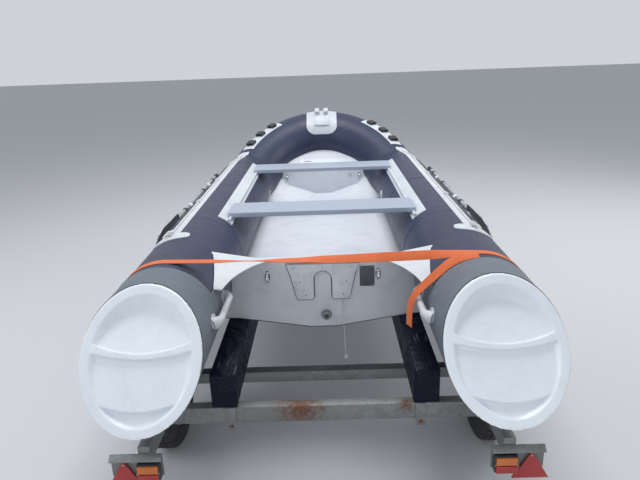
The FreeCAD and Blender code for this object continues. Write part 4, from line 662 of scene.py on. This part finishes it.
def strapSpots():  # port hook, over the port tube, across with a growing twist, and the same way down to starboard
    yMid = at(strap["station"])
    hook = Vector((strap["hookX"], yMid, strap["hookHeight"]))
    toward = Vector((hook.x - tube["offset"], 0, hook.z - tube["height"]))
    lean = math.degrees(math.atan2(toward.x, toward.z))
    touch = lean - math.degrees(math.acos(strapReach / toward.length))
    touchPoint = skinPoint(1, strap["station"], touch, strapReach - tube["radius"])
    half = [hook.lerp(touchPoint, k / 6) for k in range(6)]
    half += [skinPoint(1, strap["station"], touch * (1 - k / 24), strapReach - tube["radius"]) for k in range(25)]
    flat = Vector((0, 1, 0))
    spots = [(Vector((-p.x, p.y, p.z)), flat) for p in half]
    top = tube["height"] + strapReach
    for k in range(1, strap["spans"]):
        x = -tube["offset"] + 2 * tube["offset"] * k / strap["spans"]
        share = k / strap["spans"]
        a = math.radians(twistAt(share))
        z = top - strap["sag"] * math.sin(math.pi * share)
        spots.append((Vector((x, yMid, z)), Vector((0, math.cos(a), math.sin(a)))))
    return spots + [(p, flat) for p in reversed(half)]


strapLength = ribbon("tieStrap", strapSpots(), bodyOf["tie_strap"], ("tie_strap",))[1]

tail = {
    "route": [(0.6979, -2.021, 1.1447), (0.6806, -2.021, 1.1451), (0.6455, -2.021, 1.1422), (0.6112, -2.021, 1.1331),
              (0.5797, -2.021, 1.1165), (0.5509, -2.021, 1.0956), (0.4730, -2.021, 1.0211), (0.4180, -2.021, 0.9680),
              (0.3990, -2.021, 0.9120), (0.3960, -2.021, 0.8600), (0.3960, -2.021, 0.8070)],
    "lean": 34.0, "leanAtTop": 0.25, "leavesTube": -44.0, "turned": 24.0, "turnsOver": 1.6,
}


def routeSpots(route):  # points read from the smooth line of a route
    lineData = nurbsCurve("routeDraft", route, 8)
    lineObject = newObject("routeDraft", lineData)
    lineMesh = bpy.data.meshes.new_from_object(lineObject)
    spots = [v.co.copy() for v in lineMesh.vertices]
    bpy.data.objects.remove(lineObject)
    bpy.data.meshes.remove(lineMesh)
    return spots


def tailSpots():  # the tail lies on the starboard tube with its fore edge lifted, then hangs and turns edge-on
    spots = []
    flat = Vector((0, 1, 0))
    turn = math.radians(tail["turned"])
    hanging = Vector((-math.sin(turn), math.cos(turn), 0))
    places = routeSpots(tail["route"])
    left = None
    for place in places:
        away = Vector((place.x - tube["offset"], 0, place.z - tube["height"])).normalized()
        degrees = math.degrees(math.atan2(away.x, away.z))
        if left is None and degrees > tail["leavesTube"]:
            rise = min(1.0, 2 * max(0.0, degrees / tail["leavesTube"]))
            lean = math.radians(tail["lean"] * (tail["leanAtTop"] + (1 - tail["leanAtTop"]) * rise))
            across = flat * math.cos(lean) + away * math.sin(lean)
        else:
            left = left or (place, across.copy())
            fallen = (place - left[0]).length / (places[-1] - left[0]).length
            across = left[1].lerp(hanging, min(1.0, fallen * tail["turnsOver"])).normalized()
        spots.append((place, across))
    return spots


tailPath = tailSpots()
strapTail, tailLength = ribbon("strapTail", tailPath, bodyOf["strap_tail"], ("strap_tail",))
print("strap over the stern, metres:", round(strapLength, 2), "tail", round(tailLength, 2))

# moulded end caps, remeshed and smoothed so that their edges round as moulded ones do
capShell = {"voxel": 0.0035, "factor": 0.5, "passes": 3}
for side, sideName in sideNames:
    nodeName = "end_cap_" + sideName
    draft = newObject("capDraft", meshOf(nodeCopy(nodeName), "capDraft"))
    remesh = draft.modifiers.new("even", "REMESH")
    remesh.mode = "VOXEL"
    remesh.voxel_size = capShell["voxel"]
    smooth = draft.modifiers.new("soft", "SMOOTH")
    smooth.factor = capShell["factor"]
    smooth.iterations = capShell["passes"]
    finishPiece(shapedBmesh(draft), "mouldedCap_" + sideName, "capPlastic", bodyOf[nodeName], 80,
                (nodeName,))
print("end caps rounded")

# rigid pieces with eased edges
easedPieces = [  # node, piece, finish, slot, edge width
    ("grips", "bowGrips", "blackRubber", "black_rubber", 0.002),
    ("bow_fairlead", "bowFairlead", "fairleadPlastic", "cap_plastic", 0.002),
    ("blank_plate", "blankPlate", "darkPlate", "black_rubber", 0.0005),
    ("bow_locker", "bowMoulding", "gelcoat", "gelcoat", 0.002),
    ("bench_aft", "plankAft", "benchPaint", "bench_coating", 0.003),
    ("bench_fore", "plankFore", "benchPaint", "bench_coating", 0.003),
    ("motor_pad", "clampPad", "padPlastic", "pad_plastic", 0.0025),
    ("transom", "sternBoard", "transomPaint", "gelcoat", 0.003),
    ("locker_lid", "bowLid", "gelcoat", "gelcoat", 0.003),
    ("crossbeams", "crossMembers", "rustyZinc", "galvanised", 0.003),
    ("frame_left", "sideBeamLeft", "zinc", "galvanised", 0.003),
    ("frame_right", "sideBeamRight", "zinc", "galvanised", 0.003),
    ("winch_post", "winchMast", "zinc", "galvanised", 0.003),
    ("bow_stop", "bowBuffer", "blackRubber", "black_rubber", 0.005),
    ("bunks", "wrappedBunks", "bunkFilm", "bunk_wrap", 0.008),
    ("lamps", "lampHousings", "blackRubber", "lamp_red", 0.006),
    ("reflectors", "triangles", "redLens", "reflector_red", 0.0012),
    ("lamp_boards", "lampPanels", "zinc", "galvanised", 0.0008),
    ("bunk_brackets", "bracketStraps", "zinc", "galvanised", 0.0012),
    ("winch", "handWinch", "zinc", "galvanised", 0.0012),
    ("coupling", "ballCoupling", "zinc", "galvanised", 0.002),
    ("axle", "axleBeam", "zinc", "galvanised", 0.002),
    ("drain_fitting", "drainPlug", "drainPlastic", "black_rubber", 0.001),
]
for nodeName, pieceName, finishName, slotName, width in easedPieces:
    bm = nodeCopy(nodeName)
    bmesh.ops.dissolve_limit(bm, angle_limit=math.radians(1.0), verts=bm.verts, edges=bm.edges)
    bevelEdges(bm, sharpEdges(bm, 28), width, 2, clamp_overlap=True)
    finishPiece(bm, pieceName, finishName, bodyOf[nodeName], 40, (nodeName,))
print("edges eased on", len(easedPieces), "pieces")

# road wheels: tyres spun from their profile, with tread blocks cut in
wheel = {"radius": 0.28, "rim": 0.165, "width": 0.155, "station": 0.885, "offset": 0.862, "steps": 96,
         "grooveDepth": 0.006, "grooves": (-0.026, 0.0, 0.026), "treadSkin": 0.004, "shoulder": 0.018,
         "middleBand": 0.013, "blockMargin": 0.0022, "blockDepth": 0.0045}


def hubOf(side):
    return Vector((side * wheel["offset"], at(wheel["station"]), wheel["radius"]))


def mirrored(half, between=()):  # a half outline of (reach, along) pairs, what lies between, and its mirror
    return half + list(between) + [(reach, -along) for reach, along in reversed(half)]


def tyreProfile():  # half-section from one bead over the tread to the other, as (reach, across) pairs
    w, r, rim = wheel["width"] / 2, wheel["radius"], wheel["rim"]
    wall = [(rim, -w + 0.022), (rim + 0.006, -w + 0.012), (rim + 0.016, -w + 0.006), (r - 0.075, -w + 0.001),
            (r - 0.05, -w), (r - 0.03, -w + 0.003), (r - 0.014, -w + 0.011), (r - 0.004, -w + 0.02),
            (r - 0.001, -w + 0.028)]
    deep = r - wheel["grooveDepth"]
    tread = []
    for groove in wheel["grooves"]:
        tread += [(r, groove - 0.004), (deep, groove - 0.003), (deep, groove + 0.003), (r, groove + 0.004)]
    return mirrored(wall, tread)


# an outline of (reach, along) pairs is spun about an axis, from the direction that first names
def spinOutline(bm, outline, centre, axis, first, steps, closed=True, merge=0.00001):
    verts = [bm.verts.new(Vector(centre) + Vector(first) * reach + Vector(axis) * along) for reach, along in outline]
    edges = [bm.edges.new(pair) for pair in zip(verts, verts[1:] + verts[:1] if closed else verts[1:])]
    bmesh.ops.spin(bm, geom=verts + edges, cent=centre, axis=axis, dvec=(0, 0, 0), angle=2 * math.pi, steps=steps,
                   use_merge=True)
    bmesh.ops.remove_doubles(bm, verts=bm.verts, dist=merge)


for side, sideName in sideNames:
    hub = hubOf(side)
    bm = bmesh.new()
    spinOutline(bm, tyreProfile(), hub, (1, 0, 0), up, wheel["steps"], False, 0.00005)
    recalc(bm)
    blocks = []
    for face in bm.faces:
        away = face.calc_center_median() - hub
        turn = math.degrees(math.atan2(away.y, away.z)) % 360
        index = int(turn / (360 / wheel["steps"]))
        onTread = math.hypot(away.y, away.z) > wheel["radius"] - wheel["treadSkin"]
        if onTread and abs(away.x) < wheel["width"] / 2 - wheel["shoulder"]:
            row = 0 if away.x < -wheel["middleBand"] else 1 if away.x < wheel["middleBand"] else 2
            if (index + row) % 3 == 0:
                blocks.append(face)
    bmesh.ops.inset_individual(bm, faces=blocks, thickness=wheel["blockMargin"], depth=-wheel["blockDepth"],
                               use_even_offset=True)
    finishPiece(bm, "treadedTyre_" + sideName, "tyreRubber", bodyOf["tyre_" + sideName], 30,
                ("tyre_" + sideName,))
print("tyres spun")

# knots at the lifelines' aft ends
lineKnot = {"station": 1.045, "degrees": 19.0, "lift": 0.016, "thick": 0.0055,
            "loops": [((1, 0.2, 0.1), 0.013, 0), ((0.1, 1, 0.3), 0.012, 60), ((0.4, 0.1, 1), 0.014, 120)],
            "end": [(0, 0, 0), (0.012, -0.03, 0.004), (0.022, -0.052, -0.006)], "endRadii": [0.0055, 0.006, 0.0042]}
for side, sideName in sideNames:
    bm = bmesh.new()
    centre = skinPoint(side, lineKnot["station"], lineKnot["degrees"], lineKnot["lift"])
    for axis, reach, begin in lineKnot["loops"]:
        knotLoop(bm, centre, axis, reach, begin, 345, 18, lineKnot["thick"], 10)
    tubeAlong(bm, [centre + Vector((side * x, y, z)) for x, y, z in lineKnot["end"]], lineKnot["endRadii"], 10)
    recalc(bm)
    finishPiece(bm, "ropeKnot_" + sideName, "whiteRope", bodyOf["lifelines"], 60)
print("rope knots tied")

# lamps: amber and red halves in a dark housing
lampLook = {"centre": 0.721, "width": 0.084, "thick": 0.012, "proud": 0.0005, "edge": 0.003,
            "halves": [("amber", "amberLens", 0.002, 0.036), ("red", "redLens", -0.036, -0.002)]}
lowCorner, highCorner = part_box("lamps")
for side, sideName in sideNames:
    for part, finishName, low, high in lampLook["halves"]:
        bm = bmesh.new()
        bmesh.ops.create_cube(bm, size=1.0)
        bmesh.ops.scale(bm, verts=bm.verts, vec=(lampLook["width"], lampLook["thick"], high - low))
        bmesh.ops.translate(bm, verts=bm.verts, vec=(side * lampLook["centre"], lowCorner[1] - lampLook["proud"],
                                                     (lowCorner[2] + highCorner[2] + low + high) / 2))
        bevelEdges(bm, bm.edges[:], lampLook["edge"], 3)
        finishPiece(bm, part + "Lens_" + sideName, finishName, bodyOf["lamps"], 40)
print("lamps glazed")


# glue lines, seams and dark joints along real edges, and painted shadow lines round the pad's aft face and where the
# caps meet the sleeves
def middleOf(edge):
    return (edge.verts[0].co + edge.verts[1].co) / 2


def chainsOf(edges):  # loose edges put in order, as lists of points, from the same start in each run
    left = dict.fromkeys(sorted(edges, key=lambda e: [round(c, 5) for c in middleOf(e)]))
    chains = []
    while left:
        edge = next(iter(left))
        del left[edge]
        ends = [edge.verts[0], edge.verts[1]]
        for grow in (0, 1):
            while True:
                tip = ends[0] if grow == 0 else ends[-1]
                onward = [e for e in tip.link_edges if e in left]
                if not onward:
                    break
                del left[onward[0]]
                other = onward[0].other_vert(tip)
                ends = [other] + ends if grow == 0 else ends + [other]
        chains.append([v.co.copy() for v in ends])
    return chains


def spaced(points, gap):  # points that stand closer than the gap are dropped
    kept = [points[0]]
    for point in points[1:]:
        if (point - kept[-1]).length > gap:
            kept.append(point)
    return kept


bead = {"gap": 0.004, "pad": 0.0036, "padLine": 0.0015, "transom": 0.0022, "cap": 0.0028, "hem": 0.0016,
        "transomFace": at(0.930), "padFace": at(0.918), "transomTop": 1.015, "sleeveMiddle": at(0.45),
        "sleeveSkin": 0.2405}


def edgeBead(nodeName, pieceName, finishName, radius, pick):  # a bead on the edges picked
    source = nodeCopy(nodeName)
    bmesh.ops.dissolve_limit(source, angle_limit=math.radians(1.5), verts=source.verts, edges=source.edges)
    bm = bmesh.new()
    for points in chainsOf([e for e in sharpEdges(source, 35) if pick(e)]):
        points = spaced(points, bead["gap"])
        if len(points) > 1:
            tubeAlong(bm, points, radius, 6)
    source.free()
    recalc(bm)
    finishPiece(bm, pieceName, finishName, bodyOf[nodeName], 60)


def onFace(edge, y):
    return all(abs(v.co.y - y) < 0.001 for v in edge.verts)


def onSleeveSkin(edge):
    middle = middleOf(edge)
    return math.hypot(abs(middle.x) - tube["offset"], middle.z - tube["height"]) > bead["sleeveSkin"]


edgeBead("motor_pad", "padSealant", "darkSeamAndShadow", bead["pad"], lambda e: onFace(e, bead["transomFace"]))
# painted shadow: a thin dark line round the pad's aft face stands in for the shade on the pad's edges
edgeBead("motor_pad", "padShadowLine", "darkSeamAndShadow", bead["padLine"], lambda e: onFace(e, bead["padFace"]))
edgeBead("transom", "transomSealant", "darkSeamAndShadow", bead["transom"],
         lambda e: onFace(e, bead["transomFace"]) and all(v.co.z < bead["transomTop"] for v in e.verts))
for side, sideName in sideNames:
    # painted shadow: a dark line where the caps meet the sleeves stands in for the shade under the cap rims
    edgeBead("sleeve_" + sideName, "capShadowLine_" + sideName, "darkSeamAndShadow", bead["cap"],
             lambda e: middleOf(e).y < bead["sleeveMiddle"] and onSleeveSkin(e))
    edgeBead("sleeve_" + sideName, "sleeveHem_" + sideName, "seamLine", bead["hem"],
             lambda e: middleOf(e).y > bead["sleeveMiddle"] and onSleeveSkin(e))
print("seams laid")


# bolts, rivets and screws
def stamp(bm, shape, place, outward):  # adds a small shape, made about +Z, at a place and facing outward
    turned = shape.copy()
    turn = Vector((0, 0, 1)).rotation_difference(Vector(outward)).to_matrix().to_4x4()
    bmesh.ops.transform(turned, matrix=Matrix.Translation(place) @ turn, verts=turned.verts)
    held = meshOf(turned, "stampDraft")
    bm.from_mesh(held)
    bpy.data.meshes.remove(held)


bolt = {  # width over the flats, height of the head, radius of the washer
    "small": (0.013, 0.008, 0.011), "beam": (0.017, 0.010, 0.014), "large": (0.019, 0.012, 0.016),
    "coupling": (0.019, 0.012, 0.015), "wheel": (0.019, 0.013, 0.0125), "drain": (0.044, 0.006, 0),
    "flatsToCorner": 0.577, "chamfer": 0.07, "washerTop": 0.96, "washerThick": 0.0016, "lift": 0.0012,
}


def boltShape(size):  # a six-sided head, on a washer where that has a radius
    across, height, washer = bolt[size]
    bm = bmesh.new()
    corner = across * bolt["flatsToCorner"]
    head = bmesh.ops.create_cone(bm, cap_ends=True, segments=6, radius1=corner, radius2=corner, depth=height)["verts"]
    bmesh.ops.translate(bm, verts=head, vec=(0, 0, height / 2 + bolt["lift"]))
    bevelEdges(bm, [e for e in bm.edges if all(v.co.z > height for v in e.verts)], across * bolt["chamfer"], 2)
    if washer:
        disc = bmesh.ops.create_cone(bm, cap_ends=True, segments=24, radius1=washer,
                                     radius2=washer * bolt["washerTop"], depth=bolt["washerThick"])["verts"]
        bmesh.ops.translate(bm, verts=disc, vec=(0, 0, bolt["washerThick"] / 2))
    return bm


def rivetShape(radius):  # a low domed head
    bm = bmesh.new()
    dome = [(1.0, 0.0), (1.0, 0.12), (0.85, 0.32), (0.5, 0.46), (0.0, 0.5)]
    spinOutline(bm, [(radius * reach, radius * rise) for reach, rise in dome], (0, 0, 0), up, (1, 0, 0), 16, False)
    bmesh.ops.contextual_create(bm, geom=[e for e in bm.edges if len(e.link_faces) == 1])
    recalc(bm)
    return bm


def fasten(pieceName, shape, finishName, nodeName, spots):
    bm = bmesh.new()
    for place, outward in spots:
        stamp(bm, shape, Vector(place), outward)
    shape.free()
    finishPiece(bm, pieceName, finishName, bodyOf[nodeName], 35)


padScrewSpots = ((-0.15, 0.978), (0.15, 0.978), (-0.09, 0.826), (0.105, 0.826), (0.0, 0.978), (-0.12, 0.90),
                 (0.12, 0.90))
plate = {"x": 0.229, "z": 0.920, "halfWide": 0.031, "halfTall": 0.049, "station": 0.928}
dots = {"x": 0.26, "z": 0.897, "station": 3.600, "steps": ((0, 0.013), (0, -0.013), (0.013, 0), (-0.013, 0))}
fasten("bracketBolts", boltShape("small"), "rustySteel", "bunk_brackets",
       [((x * 0.425, at(station), 0.428), outward)
        for station, outward in ((0.380, aft), (2.530, fore)) for x in bothSides])
fasten("padScrews", rivetShape(0.0042), "boltZinc", "motor_pad",
       [((x, bead["padFace"], z), aft) for x, z in padScrewSpots])
fasten("plateRivets", rivetShape(0.0028), "polishedSteel", "blank_plate",
       [((plate["x"] + x * plate["halfWide"], at(plate["station"]), plate["z"] + z * plate["halfTall"]), aft)
        for x in bothSides for z in bothSides])
fasten("reflectorRivets", rivetShape(0.0045), "boltZinc", "reflectors",
       [((x * 0.829, at(0.118), 0.448), aft) for x in bothSides])
fasten("crossbeamBolts", boltShape("beam"), "boltZinc", "crossbeams",
       [((x * 0.655, at(station), 0.525), up) for x in bothSides for station in (0.410, 2.50)])
fasten("bulkheadDots", rivetShape(0.005), "darkPlate", "bow_locker",
       [((dots["x"] + x, at(dots["station"]), dots["z"] + z), aft) for x, z in dots["steps"]])

# dark gaskets behind the eyes on the transom and the bulkhead, black so that they also paint the shade inside the
# eyes
eyeSeatAndShade = {"thick": 0.0016, "spots": [  # x, station, z, half the width, half the height
    (0.285, 0.930, 0.930, 0.013, 0.033), (0.350, 3.600, 0.893, 0.011, 0.030)]}
bm = bmesh.new()
for x, station, z, halfWide, halfTall in eyeSeatAndShade["spots"]:
    for side in bothSides:
        disc = bmesh.ops.create_circle(bm, cap_ends=True, segments=32, radius=1.0)["verts"]
        faces = [f for f in bm.faces if all(v in disc for v in f.verts)]
        for vert in disc:
            vert.co = Vector((side * x + vert.co.x * halfWide, at(station), z + vert.co.y * halfTall))
        bmesh.ops.translate(bm, verts=extruded(bm, faces), vec=(0, -eyeSeatAndShade["thick"], 0))
recalc(bm)
finishPiece(bm, "eyeGasketsAndShade", "blackRubber", bodyOf["eyes"], 40)
drainSpot = Vector((0.014, at(0.912), 0.709))
fasten("drainNut", boltShape("drain"), "drainPlastic", "drain_fitting", [(drainSpot, aft)])
fasten("drainScrew", rivetShape(0.0125), "blackRubber", "drain_fitting", [(drainSpot + Vector((0, -0.0055, 0)), aft)])
print("fasteners set")

# oval patches with rings on the tubes' inner flanks
ovalPatch = {"spots": [(1, -1, 3.112, -104), (3, 1, 2.701, -88)],  # number, side, station, degrees from the top
             "long": 0.062, "wide": 0.040, "lift": 0.002, "thick": 0.0035, "seatLift": 0.0035, "ringLift": 0.004,
             "ringReach": 0.016, "ringWire": 0.0026, "barHalves": (-0.021, -0.012, 0.012, 0.021),
             "barRadii": [0.002, 0.0052, 0.0052, 0.002]}
along = Vector((0, 1, 0))
for number, side, station, degrees in ovalPatch["spots"]:
    centre = skinPoint(side, station, degrees)
    axisPoint = Vector((side * tube["offset"], centre.y, tube["height"]))
    outward = (centre - axisPoint).normalized()
    around = along.cross(outward)
    bm = bmesh.new()
    for vert in bmesh.ops.create_circle(bm, cap_ends=True, segments=40, radius=1.0)["verts"]:
        turn = vert.co.y * ovalPatch["wide"] / tube["radius"]
        flat = outward * math.cos(turn) + around * math.sin(turn)
        vert.co = axisPoint + along * (vert.co.x * ovalPatch["long"]) + flat * (tube["radius"] + ovalPatch["lift"])
    recalc(bm)
    bmesh.ops.translate(bm, verts=extruded(bm, bm.faces[:]), vec=outward * -ovalPatch["thick"])
    recalc(bm)
    finishPiece(bm, "ovalPatch_%d" % number, "whiteCloth", bodyOf["tube_left"], 40)
    bm = bmesh.new()
    seat = centre + outward * ovalPatch["seatLift"]
    reach = ovalPatch["ringReach"]
    tubeAlong(bm, arcPoints(seat + outward * ovalPatch["ringLift"], around * reach, along * reach, 0, 360, 26),
              ovalPatch["ringWire"], 8)
    tubeAlong(bm, [seat + along * k for k in ovalPatch["barHalves"]], ovalPatch["barRadii"], 10)
    recalc(bm)
    finishPiece(bm, "patchRing_%d" % number, "polishedSteel", bodyOf["tube_left"], 60)
print("patches glued:", len(ovalPatch["spots"]))

# moulded carry handles on the tubes' inner sides
handle = {"degrees": -84, "from": 0.412, "to": 0.728, "spans": 32, "lift": 0.002, "reach": 0.033, "climb": 0.17,
          "bar": 0.0150, "foot": 0.031, "foreFoot": 0.86, "footLength": 0.20, "tip": 0.8, "pads": (0.442, 0.702),
          "padLong": 0.040, "padWide": 0.031, "padReach": 0.247, "padThick": 0.005}
bm = bmesh.new()
for side in bothSides:
    path, radii = [], []
    for k in range(handle["spans"] + 1):
        share = k / handle["spans"]
        edge = min(share, 1 - share)
        lift = handle["reach"] * math.sin(min(1.0, edge / handle["climb"]) * math.pi / 2)
        path.append(skinPoint(side, handle["from"] + (handle["to"] - handle["from"]) * share, handle["degrees"],
                              handle["lift"] + lift))
        swell = handle["foot"] if share < 0.5 else handle["foot"] * handle["foreFoot"]
        spread = max(0.0, 1 - edge / handle["footLength"]) ** 1.5
        radii.append(handle["bar"] + (swell - handle["bar"]) * spread if edge > 0 else swell * handle["tip"])
    tubeAlong(bm, path, radii, 18)
    for station in handle["pads"]:
        disc = bmesh.ops.create_circle(bm, cap_ends=True, segments=36, radius=1.0)["verts"]
        middle = math.radians(handle["degrees"])
        for vert in disc:
            turn = math.degrees(middle + vert.co.y * handle["padWide"] / tube["radius"])
            lift = handle["padReach"] - tube["radius"]
            vert.co = skinPoint(side, station + vert.co.x * handle["padLong"], turn, lift)
        faces = [f for f in bm.faces if all(v in disc for v in f.verts)]
        inward = Vector((-side * math.sin(middle), 0, -math.cos(middle)))
        bmesh.ops.translate(bm, verts=extruded(bm, faces), vec=inward * handle["padThick"])
recalc(bm)
finishPiece(bm, "carryHandles", "handlePlastic", bodyOf["carry_handles"], 50, ("carry_handles",))
print("handles moulded")

# rims: pressed discs with hand holes, nuts and a valve
rimLook = {"holes": 8, "holeRadius": 0.013, "holeCircle": 0.093, "nuts": 4, "nutCircle": 0.0635, "face": 0.0155,
           "valve": [(0.020, -0.118), (0.032, -0.115), (0.050, -0.110)], "valveRadii": [0.0055, 0.0045, 0.0040]}
for side, sideName in sideNames:
    hub = hubOf(side)
    nodeName = "rim_" + sideName
    cutters = bmesh.new()
    for k in range(rimLook["holes"]):
        turn = 2 * math.pi * k / rimLook["holes"]
        drillShape = bmesh.new()
        bmesh.ops.create_cone(drillShape, cap_ends=True, segments=24, radius1=rimLook["holeRadius"],
                              radius2=rimLook["holeRadius"], depth=0.3)
        spot = hub + Vector((0, math.sin(turn), math.cos(turn))) * rimLook["holeCircle"]
        stamp(cutters, drillShape, spot, (1, 0, 0))
        drillShape.free()
    cutter = newObject("cutterDraft", meshOf(cutters, "cutterDraft"))
    draft = newObject("rimDraft", meshOf(nodeCopy(nodeName), "rimDraft"))
    drill = draft.modifiers.new("handHoles", "BOOLEAN")
    drill.operation = "DIFFERENCE"
    drill.object = cutter
    pressed = shapedBmesh(draft)
    bpy.data.objects.remove(cutter)
    finishPiece(pressed, "pressedRim_" + sideName, "rimPaint", bodyOf[nodeName], 30, (nodeName,))
    circle = rimLook["nutCircle"]
    fasten("wheelNuts_" + sideName, boltShape("wheel"), "boltZinc", nodeName,
           [(hub + Vector((side * rimLook["face"], math.sin(a) * circle, math.cos(a) * circle)), (side, 0, 0))
            for a in (math.pi * (0.25 + 0.5 * k) for k in range(rimLook["nuts"]))])
    bm = bmesh.new()
    tubeAlong(bm, [hub + Vector((side * x, 0, z)) for x, z in rimLook["valve"]], rimLook["valveRadii"], 10)
    recalc(bm)
    finishPiece(bm, "tyreValve_" + sideName, "blackRubber", bodyOf[nodeName], 40)
print("rims pressed")

# seam tapes round the tubes
seam = {"stations": (1.36, 2.26, 3.14), "half": 0.014, "thick": 0.0008, "edge": 0.0015, "sunk": 0.001}
halfTape = [(tube["radius"] - seam["sunk"], -seam["half"]), (tube["radius"] + seam["thick"] * 0.4, -seam["half"]),
            (tube["radius"] + seam["thick"], -seam["half"] + seam["edge"])]
tape = mirrored(halfTape)
bm = bmesh.new()
for side in bothSides:
    for station in seam["stations"]:
        spinOutline(bm, tape, Vector((side * tube["offset"], at(station), tube["height"])), fore, up, 96)
recalc(bm)
finishPiece(bm, "seamTapes", "collarTape", bodyOf["tube_left"], 50)

# rounded patches under the lifelines' aft ends
tab = {"station": 1.0175, "degrees": 18.5, "long": 0.049, "wide": 0.106, "lift": 0.0052, "square": 2 / 3, "rings": 5,
       "ringStep": 0.17, "sunk": 0.001}
bm = bmesh.new()
for side in bothSides:
    disc = bmesh.ops.create_circle(bm, cap_ends=True, segments=48, radius=1.0)["verts"]
    rings = [f for f in bm.faces if all(v in disc for v in f.verts)]
    for ring in range(tab["rings"]):
        bmesh.ops.inset_region(bm, faces=rings, thickness=tab["ringStep"], use_even_offset=False)
    bmesh.ops.poke(bm, faces=rings)
    faces = [f for f in bm.faces if f.calc_center_median().length < 1.01]
    for vert in {v for f in faces for v in f.verts}:
        alongTube = math.copysign(abs(vert.co.x) ** tab["square"], vert.co.x) * tab["long"]
        aroundTube = math.copysign(abs(vert.co.y) ** tab["square"], vert.co.y) * tab["wide"]
        turn = tab["degrees"] + math.degrees(aroundTube / tube["radius"])
        vert.co = skinPoint(side, tab["station"] + alongTube, turn, tab["lift"])
    for vert in extruded(bm, faces):
        middle = Vector((side * tube["offset"], vert.co.y, tube["height"]))
        vert.co = middle + (vert.co - middle).normalized() * (tube["radius"] - tab["sunk"])
recalc(bm)
finishPiece(bm, "ropeEndPatches", "whiteCloth", bodyOf["lifeline_strips"], 40)
print("tapes and patches laid")

# oars: collars and hand grips on their shafts
oarLook = {  # collars at three stations, then (station, radius) pairs along a collar and a grip
    "collars": (2.02, 2.62, 3.02), "collar": [(-0.017, 0.0152), (-0.016, 0.0178), (0.016, 0.0178), (0.017, 0.0152)],
    "grip": [(3.135, 0.0152), (3.137, 0.0172), (3.185, 0.0164), (3.235, 0.0172), (3.245, 0.0168), (3.247, 0.013)],
}
for side, sideName in sideNames:
    nodeName = "oar_" + sideName
    ends = [v.co for v in frame["nodes"][nodeName].data.vertices if v.co.y > at(3.2)]
    shaftX, shaftZ = [(min(c[k] for c in ends) + max(c[k] for c in ends)) / 2 for k in (0, 2)]
    bm = bmesh.new()
    sleeves = [[(station + step, reach) for step, reach in oarLook["collar"]] for station in oarLook["collars"]]
    for stops in sleeves + [oarLook["grip"]]:
        tubeAlong(bm, [Vector((shaftX, at(station), shaftZ)) for station, reach in stops],
                  [reach for station, reach in stops], 20)
    recalc(bm)
    finishPiece(bm, "oarCollars_" + sideName, "blackRubber", bodyOf[nodeName], 40)
print("oars fitted")

# jockey wheel: solid tyre on a webbed hub
jockey = {"centre": (0.178, at(4.600), 0.1), "steps": 64,
          "tyre": [(0.062, -0.020), (0.066, -0.0215), (0.086, -0.022), (0.095, -0.018), (0.100, -0.010)],
          "hub": [(0.0065, -0.022), (0.024, -0.022), (0.030, -0.010), (0.056, -0.008), (0.0618, -0.019)]}
for half, pieceName, finishName, slotName, covered in (
        (jockey["tyre"], "jockeyTyre", "blackRubber", "black_rubber", ("jockey_wheel",)),
        (jockey["hub"], "jockeyHub", "handlePlastic", "cap_plastic", ())):
    bm = bmesh.new()
    spinOutline(bm, mirrored(half), jockey["centre"], (1, 0, 0), up, jockey["steps"])
    recalc(bm)
    finishPiece(bm, pieceName, finishName, bodyOf["jockey_wheel"], 35, covered)
print("jockey wheel built")

# trailer hardware
fasten("mudguardBolts", boltShape("small"), "boltZinc", "mudguards",
       [((x * 0.83, at(wheel["station"]), 0.593), up) for x in bothSides])
fasten("beamBolts", boltShape("large"), "boltZinc", "frame_left",
       [((x * 0.765, at(0.965 + y), 0.485 + z), (x, 0, 0))
        for x in bothSides for y in (-0.045, 0.045) for z in (-0.018, 0.018)])
fasten("postBolts", boltShape("large"), "boltZinc", "winch_post",
       [((x * 0.030, at(4.520), z), (x, 0, 0)) for x in bothSides for z in (0.575, 1.00, 1.25)])
fasten("couplingBolts", boltShape("coupling"), "boltZinc", "coupling",
       [((x * 0.042, at(y), 0.545), (x, 0, 0)) for x in bothSides for y in (4.82, 4.90)])
fasten("lampScrews", rivetShape(0.003), "boltZinc", "lamps",
       [((x * lampLook["centre"] + k * 0.044, at(0.093), 0.424), aft) for x in bothSides for k in bothSides])
fasten("railScrews", rivetShape(0.0035), "polishedSteel", "bench_aft",
       [((x * 0.53, at(1.63), 1.121), up) for x in bothSides])
print("hardware fitted")
